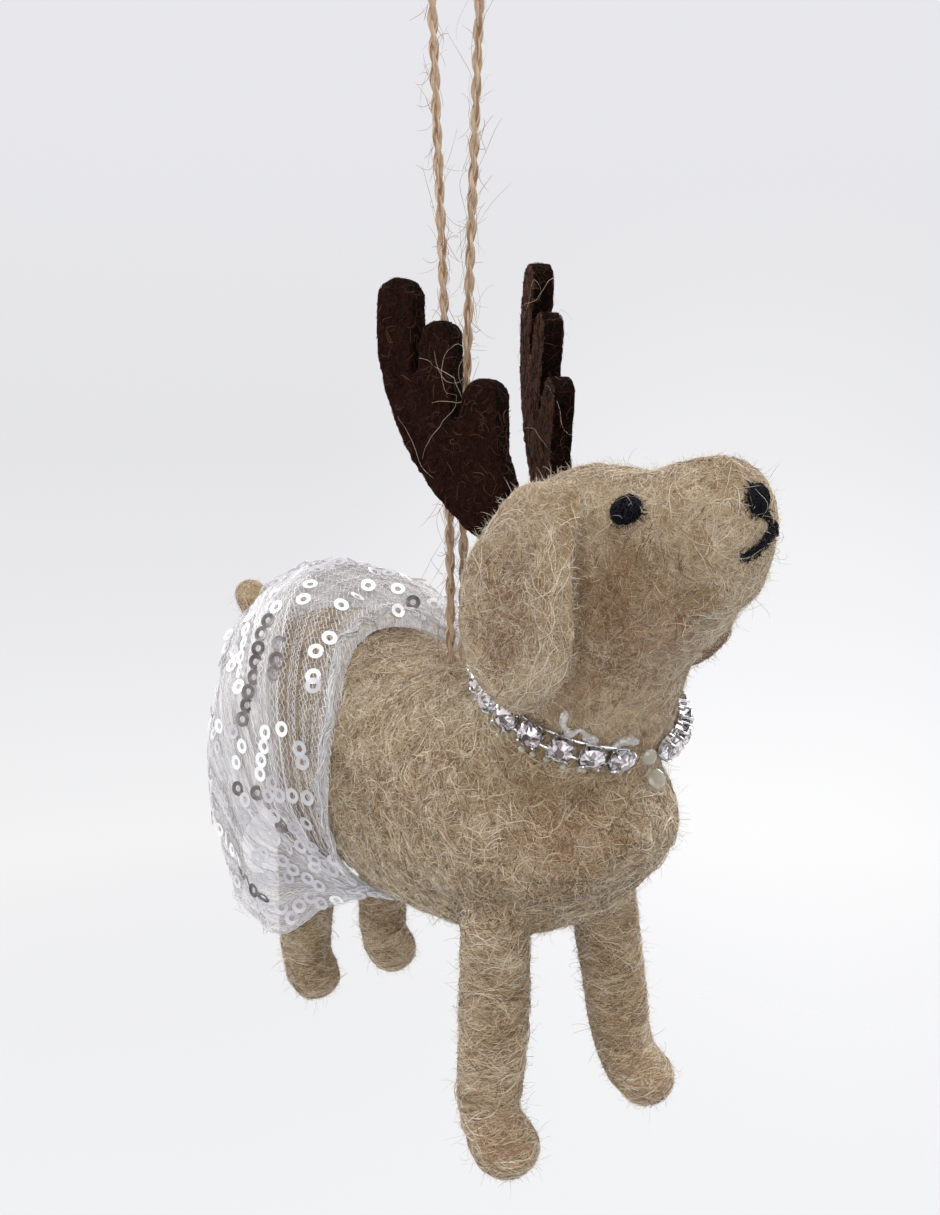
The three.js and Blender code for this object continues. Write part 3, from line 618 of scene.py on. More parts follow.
PITCH = 7.4  # of the plies' twist
STRAND_PITCH = 9
STRANDS = 9  # in a ply
PLY_OUT, STRAND_OUT = 0.33, 0.25  # of a ply from the twine's middle, of a strand from its ply's
TWINE_HAIRS, HAIR_STEPS = 420, 9
LONG_HAIRS = 0.16  # of all
HAIR_TOP = 3.2  # no hair stands higher
LOOP_TURN = math.radians(52)
# half the loop, as (across, up) from the dog's back to the top
HALF_LOOP = [
    (-0.95, -96.4), (-0.95, -92), (-0.95, -86), (-0.98, -80), (-1.05, -74), (-1.15, -68),
    (-1.28, -62), (-1.45, -55), (-1.68, -47), (-1.95, -39), (-2.25, -31), (-2.55, -23),
    (-2.85, -15), (-3.1, -8), (-3.2, -2.6), (-2.55, -0.2), (-1.3, 0.65), (0, 0.8),
]


def smooth_path(points, spacing):
    """Evenly spaced points on a smooth curve through the given ones."""
    points = np.asarray(points, dtype=float)
    padded = np.vstack([2 * points[0] - points[1], points, 2 * points[-1] - points[-2]])
    fine = []
    for i in range(1, len(padded) - 2):
        p0, p1, p2, p3 = padded[i - 1:i + 3]
        for t in np.linspace(0, 1, 24, endpoint=False):
            fine.append(0.5 * (2 * p1 + (p2 - p0) * t + (2 * p0 - 5 * p1 + 4 * p2 - p3) * t ** 2
                               + (3 * p1 - p0 - 3 * p2 + p3) * t ** 3))
    fine.append(padded[-2])
    fine = np.array(fine)
    run = distance_along(fine)
    return points_at(fine, run, np.linspace(0, run[-1], max(2, int(run[-1] / spacing))))


loop_across = np.array([math.cos(LOOP_TURN), math.sin(LOOP_TURN), 0])
loop_normal = np.cross(loop_across, [0, 0, 1])
loop = HALF_LOOP + [(-across, up) for across, up in HALF_LOOP[-2::-1]]
route = np.array([across * loop_across + np.array([0, 0, up]) for across, up in loop]) * MM
twine_line = smooth_path(route, 0.4 * MM)
twine_length = float(np.linalg.norm(np.diff(twine_line, axis=0), axis=1).sum())
twine_way = unit(np.gradient(twine_line, axis=0))
twine_side = unit(np.cross(twine_way, loop_normal))
twine_face = np.cross(twine_side, twine_way)

run = np.linspace(0, twine_length / MM, len(twine_line))
rng = np.random.default_rng(11)
strands, radii = [], []
for ply in range(2):
    for strand in range(STRANDS):
        own = 2 * math.pi * strand / STRANDS
        twist = -2 * np.pi * run / STRAND_PITCH + own
        ply_turn = 2 * np.pi * run / PITCH + math.pi * ply
        wander = 1 + 0.16 * np.sin(run * rng.uniform(0.5, 1.2) + rng.uniform(0, 6.3))
        a = (PLY_OUT * np.cos(ply_turn) + STRAND_OUT * wander * np.cos(twist)) * MM
        b = (PLY_OUT * np.sin(ply_turn) + STRAND_OUT * wander * np.sin(twist)) * MM
        strands.append(twine_line + twine_side * a[:, None] + twine_face * b[:, None])
        radii.append((0.15 + 0.02 * np.sin(run * 0.9 + own)) * MM)
strand_mesh = tubes("twine", np.array(strands), loop_normal, np.array(radii), 6)
twine = piece("twine", strand_mesh, JUTE, "twine", "jute", "hanging_twine")

hair_count = some(TWINE_HAIRS)
picks = rng.integers(4, len(twine_line) - 5, hair_count)
spin = rng.uniform(0, 2 * np.pi, hair_count)
outwards = (twine_side[picks] * np.cos(spin)[:, None]
            + twine_face[picks] * np.sin(spin)[:, None])
onwards = twine_way[picks] * rng.choice([-1, 1], hair_count)[:, None]
heading = unit(onwards + outwards * rng.uniform(0.1, 0.75, hair_count)[:, None])
at = twine_line[picks] + outwards * 0.55 * MM
hair = [at]
axis = unit(rng.normal(size=(hair_count, 3)))
bend = rng.normal(0, 0.16, hair_count)
is_long = rng.random(hair_count) < LONG_HAIRS
step = np.where(is_long, rng.uniform(0.7, 1.2, hair_count), rng.uniform(0.2, 0.5, hair_count))
step = step[:, None] * MM
for _ in range(HAIR_STEPS):
    at = at + heading * step
    hair.append(at)
    heading = unit(turned(heading, axis, bend))
    bend = bend + rng.normal(0, 0.08, hair_count)
hairs = np.stack(hair, 1)
hairs[..., 2] = np.minimum(hairs[..., 2], HAIR_TOP * MM)
twine_hairs = threads("twine_hairs", hairs, 0.075, rng, JUTE_HAIR, "twine", "jute")


# Wool

NECK = dog_point(26.3, 0, 0.2)
LEAN = math.radians(26)  # of the neck
FAN = (-9, -42.4)  # (x, z) of the axis that the skirt's cloth fans out from
MOST_QUADS = 95_000  # in one mesh, so that none is thinned when the model is exported
BUMPS = [(3.4, 0.7), (1.2, 0.4)]
LEGS = {"leg_front_right": 31, "leg_front_left": 32, "leg_rear_right": 33, "leg_rear_left": 34}


def near(spots):
    """Weights that are highest at spots of (x, y, z, radius) on the dog."""
    centres = np.array([dog_point(*spot[:3]) for spot in spots])
    radii = np.array([spot[3] for spot in spots]) * MM

    def weigh(points):
        away = np.linalg.norm(points[:, None] - centres[None], axis=2) / radii
        return np.exp(-away ** 2 * 1.6).sum(axis=1)

    return weigh


class Coat:
    """A felted form of wool, with the fibres that lie and stand on it."""

    def __init__(self, name, body, node_names, mesh, seed):
        form = piece(name, mesh, WOOL, body, "wool_cream", *node_names)
        self.name, self.body, self.surface = name, body, Surface(mesh)
        self.rng = np.random.default_rng(seed)

    def add_ribbons(self, name, lines, ups, width, material):
        """Ribbons as one piece, or as several where one would be too heavy."""
        pieces = math.ceil(len(lines) * (lines.shape[1] - 1) / MOST_QUADS)
        for k in range(pieces):
            ribbons(name if k == 0 else f"{name}_{k + 1}", lines[k::pieces], ups[k::pieces], width,
                    self.rng, material, self.body, "wool_cream")

    def lay(self, name, count, length, width, lift, curl, material=WOOL_FIBRE, comb=None,
            strength=0.0, wanted=None):
        """A layer of fibres laid over the form."""
        steps = 8
        lines, ups = laid_fibres(self.surface, self.rng, some(count), steps, length / steps, lift,
                                 curl, ends=0.2, comb=comb, strength=strength, wanted=wanted)
        self.add_ribbons(name, lines, ups, width, material)

    def halo(self, strays, fuzz, free=None, stray_length=0.5):
        """Stray hairs that leave the form, and the short fuzz that stands on it."""
        lines, _ = standing_fibres(self.surface, self.rng, some(strays), steps=6,
                                   step=stray_length, curl=0.38, wanted=free)
        threads(f"{self.name}_strays", lines, 0.045, self.rng, WOOL_STRAY, self.body, "wool_cream")
        lines, ups = standing_fibres(self.surface, self.rng, some(fuzz), steps=4, step=0.36,
                                     curl=0.5, wanted=free, lean=0.65)
        self.add_ribbons(f"{self.name}_fuzz", lines, ups, 0.036, WOOL_FUZZ)


def share_by_skirt(points, under):
    """1 on the bare body, and the share under where the skirt covers it, well behind its rim."""
    back, up = FAN[0] - points[:, 0] / MM, points[:, 2] / MM + DROP - FAN[1]
    covered = np.degrees(np.arctan2(back, up)) > 14 + 6 * (up < 20)
    return np.where(covered, under, 1.0)


def above_the_collar(points):
    """How far a point is up the neck from the collar, as 0 on the body and 1 on the head."""
    up = (points - np.array(NECK)) @ np.array([math.sin(LEAN), 0, math.cos(LEAN)])
    return smoothstep(up / MM, -0.5, 0.5)


# each leg's middle, and the height where it goes into the body, found above it
torso_tree = Surface(nodes["torso_felt"].data).tree
joins = {}
for name in LEGS:
    points, _ = arrays_of(nodes[name].data)
    high = points[points[:, 2] > points[:, 2].max() - 10 * MM]
    middle = (high.min(axis=0) + high.max(axis=0)) / 2
    under = Vector((middle[0], middle[1], points[:, 2].min()))
    joins[name] = (middle, torso_tree.ray_cast(under, Vector((0, 0, 1)))[0].z)


def leg_stub(name):
    """The top of a leg, a little thinner, for the body's form to flow into."""
    middle, height = joins[name]
    mesh = nodes[name].data.copy()
    points = arrays_of(mesh)[0].astype(float)
    points[:, :2] = middle[:2] + (points[:, :2] - middle[:2]) * 0.88
    points[:, 2] = np.maximum(points[:, 2], height - 3.2 * MM)
    move_points(mesh, points)
    return mesh


BODY_NODES = ["torso_felt", "head_felt"]
body_mesh = soft_form("body_wool", BODY_NODES, 0.55, 6, BUMPS, -0.1,
                      also=[leg_stub(name) for name in LEGS], closing=1.4)
body = Coat("body_wool", "dog", BODY_NODES, body_mesh, 21)
body.lay("body_wool_fibres", 25000, 6.0, 0.11, 0.16, 0.36,
         wanted=lambda at: share_by_skirt(at, 0.25) * (1 - above_the_collar(at)))
body.lay("head_wool_fibres", 16000, 6.5, 0.08, 0.08, 0.3, WOOL_SOFT, wanted=above_the_collar)
# brown fibres: partly the wool's own browner patches, partly painted shade in the cheek's hollow by
# the ear, under the jaw, in the dent below the brow and on the neck under the head
body.lay("body_wool_brown_and_shade", 1250, 4.6, 0.09, 0.1, 0.36, WOOL_BROWN, wanted=near([
    (39.9, -10.7, 15.0, 5), (41.5, -8.2, 10.3, 5), (48.2, -6.4, 17.6, 4.4),
    (49.2, -4.3, 29.1, 2.6), (37.2, -8.2, 6.0, 4.5), (32.6, -11.3, -14.4, 5),
    (43.6, -8.2, 21.4, 3), (36.5, 2, 2, 5), (26.1, -12.1, -26.5, 3.4), (21.6, 8.4, -31.0, 3),
    (14.1, -15.5, -8.8, 4), (4, -16, -16, 4),
]))
# pale fibres as painted light: highlights on the top of the head, brow, muzzle and jaw, and bounced
# light under the chest and belly
body.lay("body_wool_painted_light", 1500, 5.5, 0.07, 0.12, 0.24, WOOL_PALE, wanted=near([
    (32.1, -3.1, 29.2, 5), (42.9, -4.4, 28.7, 4), (50.8, -1.2, 30.1, 5), (53.3, -3.2, 23.2, 3.5),
    (46.2, -2.4, 10.4, 4), (40.2, 3.0, 5.1, 4), (52.0, -0.8, 16.4, 5), (-8.3, -13.1, -5.3, 5),
    (38.7, 1.1, -17.8, 4), (12, -12, 0, 6), (37.2, -2.7, -20.0, 5), (31.5, -5.7, -25.8, 5),
    (15.6, -15.1, -26.4, 6),
]))
body.lay("body_wool_rose", 300, 4.2, 0.085, 0.3, 0.5, WOOL_ROSE, wanted=near([
    (33.3, -10.6, -14.3, 3.4), (35.4, -8.4, -15.6, 2.2), (34.2, -10.3, 3.5, 2.4),
    (44.4, -5.5, 10.4, 3.0),
]))
# pale fibres as a painted rim of light along the edge of the throat
body.lay("throat_painted_rim_light", 420, 5.0, 0.07, 0.22, 0.2, WOOL_PALE, wanted=near([
    (38.7, 5.9, 4.2, 2), (44.9, 1.6, 9.1, 2), (46.2, 2.2, 10.3, 2), (48.3, 1.7, 12.3, 2),
    (41.8, 3.8, 6.6, 2),
]))
body.halo(2600, 30000, lambda at: share_by_skirt(at, 0.0))


def round_a_leg(points):
    """Almost level, round a leg's own upright axis."""
    flat = points[:, :2] - points[:, :2].mean(axis=0)
    level = unit(np.stack([-flat[:, 1], flat[:, 0], np.zeros(len(flat))], 1))
    return unit(level + [0, 0, 0.12])


def sink_top(mesh, height):
    """Draws a leg's top in, so that it goes under the body's wool without a step."""
    points = rows_of(mesh.vertices, "co")
    share = smoothstep(points[:, 2], height - 1.0 * MM, height + 3.5 * MM)
    move_points(mesh, points - rows_of(mesh.vertices, "normal") * (1.3 * share * MM)[:, None])


LEG_BROWN = {
    "leg_front_right": [(26.3, -14.6, -43.1, 4), (28, -14.2, -54.8, 4), (26.1, -12.1, -29, 3)],
    "leg_front_left": [(25.2, 9.7, -48.8, 4), (21.6, 7.4, -36, 4)],
}
PAW_ROSE = {
    "leg_front_right": [(28.4, -15.6, -56.0, 4.0)],
    "leg_front_left": [(30.7, 11.7, -57.3, 4.0)],
}
for name, seed in LEGS.items():
    mesh = soft_form(f"{name}_wool", [name], 0.45, 7, [(2.4, 0.5), (0.9, 0.25)], 0.12)
    sink_top(mesh, joins[name][1])
    leg = Coat(f"{name}_wool", "dog", [name], mesh, seed)
    leg.lay(f"{name}_fibres", 4400, 6.5, 0.095, 0.14, 0.2, comb=round_a_leg, strength=0.5)
    if name in LEG_BROWN:
        leg.lay(f"{name}_brown", 260, 4.5, 0.09, 0.1, 0.3, WOOL_BROWN, round_a_leg, 0.4,
                near(LEG_BROWN[name]))
    leg.lay(f"{name}_pale", 420, 5.0, 0.08, 0.16, 0.25, WOOL_PALE, round_a_leg, 0.35)
    if name in PAW_ROSE:
        leg.lay(f"{name}_rose", 130, 4.2, 0.085, 0.2, 0.4, WOOL_ROSE, round_a_leg, 0.2,
                near(PAW_ROSE[name]))
    leg.halo(420, 4200)

tail_mesh = soft_form("tail_wool", ["tail"], 0.45, 4, [(2.0, 0.4)], 0.05)
tail = Coat("tail_wool", "dog", ["tail"], tail_mesh, 35)
tail.lay("tail_fibres", 800, 4.0, 0.09, 0.12, 0.34)
tail.halo(220, 600, stray_length=0.4)


def outline_of(flat):
    """The outer outline of points in a plane, in order."""
    order = flat[np.lexsort((flat[:, 1], flat[:, 0]))]
    halves = []
    for run_of in (order, order[::-1]):
        half = []
        for p in run_of:
            while len(half) > 1 and np.cross(half[-1] - half[-2], p - half[-2]) <= 0:
                half.pop()
            half.append(p)
        halves += half[:-1]
    return np.array(halves)


class EarEdge:
    """An ear's outline seen from its side, to tell how far inside it a point is."""

    def __init__(self, mesh):
        points = rows_of(mesh.vertices, "co")
        self.edge = outline_of(points[:, [0, 2]].astype(float) / MM)
        self.way = unit(np.roll(self.edge, -1, axis=0) - self.edge)
        self.top = points[:, 2].max() / MM

    def inside(self, points):
        """Distance to the outline, the direction of the outline there, and the drop below the
        ear's top."""
        flat = points[:, [0, 2]].astype(float) / MM
        across = (self.way[:, 0][None] * (flat[:, 1][:, None] - self.edge[:, 1][None])
                  - self.way[:, 1][None] * (flat[:, 0][:, None] - self.edge[:, 0][None]))
        nearest = across.argmin(axis=1)
        return across.min(axis=1), self.way[nearest], self.top - flat[:, 1]

    def at_the_rim(self, points):
        inside, _, drop = self.inside(points)
        return np.exp(-((inside - 1.8) / 1.3) ** 2) * smoothstep(drop, 3, 8)

    def in_the_middle(self, points):
        inside, _, drop = self.inside(points)
        return smoothstep(inside, 3.4, 5.4) * smoothstep(drop, 6, 12)

    def along_the_edge(self, points):
        _, way, _ = self.inside(points)
        return np.stack([way[:, 0], np.zeros(len(way)), way[:, 1]], 1)


def roll_rim(mesh, side):
    """Thickens an ear just inside its edge and sinks its middle a little, on its outer face."""
    points, normals = rows_of(mesh.vertices, "co"), rows_of(mesh.vertices, "normal")
    inside, _, drop = EarEdge(mesh).inside(points)
    outer = np.clip(side * normals[:, 1] * 1.6, 0, 1)
    rise = 0.6 * np.exp(-((inside - 2.2) / 1.2) ** 2) - 0.7 * smoothstep(inside, 3.2, 6.2)
    rise = rise * smoothstep(drop, 3, 9)
    move_points(mesh, points + normals * (rise * outer * MM)[:, None])


FAR_EAR_SHADE = [(32.7, 16.4, 4.5, 3.4), (34.4, 16.5, 6.5, 3.4)]
for word, side, seed in (("right", -1, 41), ("left", 1, 42)):
    name = f"ear_{word}"
    mesh = soft_form(f"{name}_wool", [name], 0.45, 5, [(2.6, 0.4), (1.1, 0.3)], 0.02)
    roll_rim(mesh, side)
    ear = Coat(f"{name}_wool", f"{word}_ear", [name], mesh, seed)
    edge = EarEdge(mesh)
    ear.lay(f"{name}_fibres", 4800, 5.5, 0.08, 0.09, 0.3, WOOL_SOFT)
    # brown fibres as painted shade in the ear's sunken middle
    ear.lay(f"{name}_brown", 900, 4.5, 0.085, 0.12, 0.34, WOOL_BROWN, wanted=edge.in_the_middle)
    # pale fibres as a painted highlight along the ear's rolled rim
    ear.lay(f"{name}_pale", 900, 5.5, 0.075, 0.14, 0.24, WOOL_PALE, edge.along_the_edge, 0.4,
            edge.at_the_rim)
    if word == "left":
        ear.lay("ear_left_shade", 620, 4.0, 0.09, 0.16, 0.3, WOOL_BROWN,
                wanted=near(FAR_EAR_SHADE))
    ear.halo(420, 4200)


# Antlers: flat brown felt, with painted light making the inner faces paler and painted shade making
# the cut edges darker, with fuzz and a few pale stray fibres

FELT = felt_material("felt_face", (20, 9, 6), (34, 17, 12), (50, 29, 22), 0.04)
# paler and darker copies of the felt: painted light on the inner faces, painted shade on the cut
# edges
FELT_INNER_LIT = felt_material("felt_inner_face_lit", (40, 25, 19), (68, 48, 40), (94, 70, 60), 0.08)
FELT_CUT_SHADE = felt_material("felt_cut_edge_shade", (7, 4, 3), (14, 8, 6), (30, 18, 14))
FELT_FUZZ = fibre_material("felt_fuzz", (18, 9, 6), (30, 15, 11), (52, 30, 22), (13, 6, 5),
                           (92, 62, 48), sheen=0.02, specular=0.05)
FELT_FIBRES, FELT_STRAYS = 2600, 14  # on each antler
for word, side, seed in (("right", -1, 51), ("left", 1, 52)):
    name = f"antler_{word}"
    # the felt's own flat direction, from its largest faces
    points, faces = arrays_of(nodes[name].data)
    a, b, c = (points[faces[:, i]] for i in range(3))
    cross = np.cross(b - a, c - a)
    flat_way = cross[np.argmax(np.linalg.norm(cross, axis=1))]
    for _ in range(8):
        flat_way = (cross * np.sign(cross @ flat_way)[:, None]
                    * (np.abs(unit(cross) @ unit(flat_way)) > 0.95)[:, None]).sum(axis=0)
    flat_way = unit(flat_way)
    mesh = soft_form(name, [name], 0.36, 3, [(2.2, 0.18), (0.7, 0.14)])
    antler = piece(f"{name}_felt", mesh, FELT, "dog", "felt_brown", name)
    mesh.materials.append(FELT_CUT_SHADE)
    mesh.materials.append(FELT_INNER_LIT)
    # the cut edges take the felt's darker copy as painted shade, the inner faces its paler copy as
    # painted light
    normals = rows_of(mesh.polygons, "normal")
    cut = np.abs(normals @ flat_way) < 0.6
    inner = normals[:, 1] * side < 0
    mesh.polygons.foreach_set("material_index",
                              np.where(cut, 1, np.where(inner, 2, 0)).astype(np.int32))
    surface = Surface(mesh)
    rng = np.random.default_rng(seed)
    lines, ups = laid_fibres(surface, rng, some(FELT_FIBRES), steps=5, step=0.42, lift=0.05,
                             curl=0.5, ends=0.12)
    ribbons(f"{name}_fuzz", lines, ups, 0.11, rng, FELT_FUZZ, "dog", "felt_brown")
    lines, _ = laid_fibres(surface, rng, FELT_STRAYS, steps=14, step=0.75, lift=0.25, curl=0.22,
                           ends=0.9)
    threads(f"{name}_strays", lines, 0.055, rng, WOOL_STRAY, "dog", "wool_cream")


# Face: needled black wool

BLACK = fibre_material("black_wool", (5, 5, 8), (12, 12, 18), (26, 28, 42), (8, 8, 10),
                       roughness=0.6, sheen=0.04, specular=0.1)
BLACK_BASE = felt_material("black_matted", (2, 2, 3), (8, 8, 11), (20, 20, 27))
FRINGE, PATCH_STRAYS = 90, 6  # fibres round each patch, and pale strays over it


def black_patch(node_name, fibres, seed, length=1.3, grow=0.0, stretch=(1, 1, 1)):
    """Needled black wool: a low pad with its own fibres, a soft fringe over the wool round it and
    a few pale strays."""
    name = f"{node_name}_wool"
    mesh = soft_form(name, [node_name], 0.22, 5, [(0.8, 0.2)], grow)
    points = rows_of(mesh.vertices, "co")
    middle = points.mean(axis=0)
    points = middle + (points - middle) * stretch
    move_points(mesh, points)
    patch = piece(name, mesh, BLACK_BASE, "dog", "wool_black", node_name)
    rng = np.random.default_rng(seed)
    lines, ups = laid_fibres(Surface(mesh), rng, some(fibres), steps=6, step=length / 6,
                             lift=0.04, curl=0.5, ends=0.1)
    ribbons(f"{name}_fibres", lines, ups, 0.11, rng, BLACK, "dog", "wool_black")
    picks = rng.integers(0, len(points), FRINGE)
    at, normals = body.surface.onto(points[picks].astype(float))
    way = unit(at - middle + rng.normal(0, 0.35, (FRINGE, 3)) * MM)
    reach = rng.uniform(0.05, 0.2, FRINGE)[:, None] * MM
    lines = []
    for _ in range(6):
        lines.append(at + normals * 0.3 * MM)
        at, normals = body.surface.onto(at + way * reach)
        way = unit(way + rng.normal(0, 0.25, (FRINGE, 3)))
    threads(f"{name}_fringe", np.stack(lines, 1), 0.1, rng, BLACK, "dog", "wool_black")
    lines, _ = laid_fibres(Surface(mesh), rng, PATCH_STRAYS, steps=7, step=0.5, lift=0.1,
                           curl=0.14, ends=0.15)
    threads(f"{name}_strays", lines, 0.04, rng, WOOL_STRAY, "dog", "wool_cream")


black_patch("eye_right", 300, 61, grow=0.3)
black_patch("eye_left", 300, 62, grow=0.3)
black_patch("nose", 420, 63, 1.6, stretch=(1, 0.8, 1.4))

# the mouth: short dark fibres laid along lines over the muzzle, as (places, count)
MOUTH_LINES = [
    ([(53.7, 0.0, 25.9), (53.9, 0.6, 24.7), (54.1, 1.3, 23.5)], 80),
    ([(54.1, 1.2, 23.4), (54.1, 0.3, 22.3), (53.9, -0.9, 21.4), (53.5, -2.1, 20.8),
      (53.1, -3.2, 20.4)], 190),
    ([(54.1, 1.1, 23.9), (53.9, 2.0, 23.2), (53.6, 2.9, 22.6)], 100),
]
MOUTH_SPREAD = 0.42
STITCH_POINTS = 7
rng = np.random.default_rng(64)
stitches = []
for places, count in MOUTH_LINES:
    line, normals = body.surface.onto(smooth_path([dog_point(*p) for p in places], 0.12 * MM))
    for _ in range(count):
        length = min(len(line) - 2, int(rng.integers(7, 14)))
        first = int((len(line) - length) * rng.random() ** 1.25)
        part, up = line[first:first + length], normals[first:first + length]
        side = np.cross(unit(np.gradient(part, axis=0)), up)
        drift = np.linspace(*rng.normal(0, MOUTH_SPREAD, 2), length)[:, None]
        rise = 0.34 + np.abs(rng.normal(0, 0.14))
        part = part + (side * drift + up * rise) * MM
        stitches.append(points_at(part, np.arange(length),
                                  np.linspace(0, length - 1, STITCH_POINTS)))
threads("mouth", np.array(stitches), 0.1, rng, BLACK, "dog", "wool_black", "mouth_thread")


# Necklace: cup chain. A cup's own frame has its stone along +Z and the next cup along +X

RING = (12.85, 13.65)  # half the ring's length and width
GAP = 8.6  # between the first cup and the last
CUPS = 21
CUP_WIDTH = 3.0
CUP_BACK = 0.45  # from the ring's line back to the cup's base
TRAY_CORNER = 0.72  # how round the tray's corners are
CLAW = [(1.6, 0.5), (1.72, 1.3), (1.66, 1.85), (1.42, 2.08), (1.2, 2.12)]  # (out, up)
CLAW_HALVES = (0.2, 0.2, 0.2, 0.19, 0.12)
BAR_SIDE, BAR_UP, BAR_END, BAR_HALF = 1.16, 0.45, 0.4, 0.17
GIRDLE = 1.74  # the height of the stone's widest line
STONE = 1.52  # half the stone's width

METAL = speckled("bright_plating", 1300.0, 2.0, [(0.36, (176, 174, 178)), (0.56, (228, 227, 230))],
                 0.02, Metallic=1, Roughness=0.16)
crystal = Look("crystal_facets", Roughness=0.04, Metallic=0.35, Coat_Weight=1,
               Coat_Roughness=0.03)
# painted reflections: the facets are painted in tones from near black to white, as cut glass
# mirrors dark and bright
facet = node(crystal.tree, "Attribute", attribute_name="facet").outputs["Fac"]
glints = scaled(crystal.cells(1500.0, crystal.place, "Color"), 0.5, scaled(facet, 0.55))
crystal.drive("Base Color", painted(glints, [
    (0.06, (40, 33, 33)), (0.24, (104, 92, 90)), (0.42, (166, 154, 156)),
    (0.54, (214, 206, 208)), (0.68, (250, 247, 248)), (0.9, (255, 255, 255)),
], "CONSTANT"))

fine = np.linspace(0, 2 * np.pi, 4001)
ellipse = np.stack([RING[0] * np.cos(fine), RING[1] * np.sin(fine)], 1)
ring_run = distance_along(ellipse)
gap_share = GAP / ring_run[-1]


def cup_frame(index):
    """Matrix from a cup's own frame in mm to the row frame."""
    share = gap_share / 2 + (1 - gap_share) * index / (CUPS - 1)
    t = np.interp(share * ring_run[-1], ring_run, fine)
    at = Vector((RING[0] * math.cos(t), RING[1] * math.sin(t), 0))
    along = Vector((-RING[0] * math.sin(t), RING[1] * math.cos(t), 0)).normalized()
    outward = Vector((along.y, -along.x, 0))
    base = at - outward * CUP_BACK
    side = outward.cross(along)
    own = Matrix([(along[i], side[i], outward[i], base[i]) for i in range(3)] + [(0, 0, 0, 1)])
    return (Matrix.Translation(NECK) @ Matrix.Rotation(LEAN, 4, "Y") @ Matrix.Scale(MM, 4)
            @ own)


def placed(points, matrix):
    m = np.array(matrix)
    return np.asarray(points, dtype=float) @ m[:3, :3].T + m[:3, 3]


def stacked(rings):
    """Points and faces of a closed form through rings of equally many points."""
    count = len(rings[0])
    faces = []
    for r in range(len(rings) - 1):
        for i in range(count):
            j = (i + 1) % count
            faces.append([r * count + i, r * count + j, (r + 1) * count + j, (r + 1) * count + i])
    faces.append(list(range(count))[::-1])
    faces.append([(len(rings) - 1) * count + i for i in range(count)])
    return np.concatenate(rings), faces


def circle(radius, count, height, turn=0.0):
    """Points round the Z axis."""
    angles = angles_round(count) + turn
    return np.stack([radius * np.cos(angles), radius * np.sin(angles), np.full(count, height)], 1)


def round_square(half, rise):
    """Points round a square with round corners."""
    corner, steps = half * TRAY_CORNER, 3
    ring = []
    for quarter in range(4):
        turn = math.pi / 2 * quarter
        for k in range(steps + 1):
            a = math.pi / 2 * k / steps
            p = np.array([half - corner, half - corner]) + corner * np.array(
                [math.cos(a), math.sin(a)])
            ring.append([p[0] * math.cos(turn) - p[1] * math.sin(turn),
                         p[0] * math.sin(turn) + p[1] * math.cos(turn), rise])
    return np.array(ring)


def tray():
    """A cup's tray: its outer wall, lip and inner wall as (half width, height)."""
    outer, inner = CUP_WIDTH / 2, CUP_WIDTH / 2 - 0.3
    return stacked([round_square(half, rise) for half, rise in (
        (outer - 0.2, 0.0), (outer - 0.08, 0.12), (outer - 0.08, 0.72), (outer - 0.14, 0.8),
        (inner + 0.02, 0.8), (inner - 0.04, 0.72), (inner - 0.1, 0.35),
    )])


def bent_bar(line, halves, sides=6):
    """A closed rod along a few points in mm."""
    line = np.asarray(line, dtype=float)
    angles = angles_round(sides)[:, None]
    rings = []
    for p, d, half in zip(line, unit(np.gradient(line, axis=0)), halves):
        side = unit(np.cross(d, np.array([0.3, 1.0, 0.2])))
        face = np.cross(side, d)
        rings.append(p + (side * np.cos(angles) + face * np.sin(angles)) * half)
    return stacked(rings)


def brilliant(rng):
    """A round brilliant: table, star, bezel and upper girdle facets, girdle, and pavilion, with a
    random number for each facet."""
    upper = circle(STONE, 16, 0.05)
    points = np.concatenate([
        circle(0.62, 8, 0.62), circle(0.93, 8, 0.36, np.pi / 8), upper, upper * [1, 1, -1],
        circle(0.55, 8, -0.62, np.pi / 8), [[0, 0, -1.0]],
    ])
    t, s, u, l, m, tip = 0, 8, 16, 32, 48, 56  # where each ring's points start
    faces = [[t + i for i in range(8)]]
    for i in range(8):
        j, before, k = (i + 1) % 8, (i - 1) % 8, 2 * i
        faces += [
            [t + i, s + i, t + j], [t + i, s + before, u + k], [t + i, u + k, s + i],
            [s + i, u + k, u + k + 1], [s + i, u + k + 1, u + (k + 2) % 16],
            [l + k, m + i, l + k + 1], [l + k + 1, m + i, l + (k + 2) % 16],
            [l + k, m + before, tip], [l + k, tip, m + i],
        ]
    for i in range(16):
        j = (i + 1) % 16
        faces.append([u + i, l + i, l + j, u + j])
    return points + [0, 0, GIRDLE], faces, rng.random(len(faces))


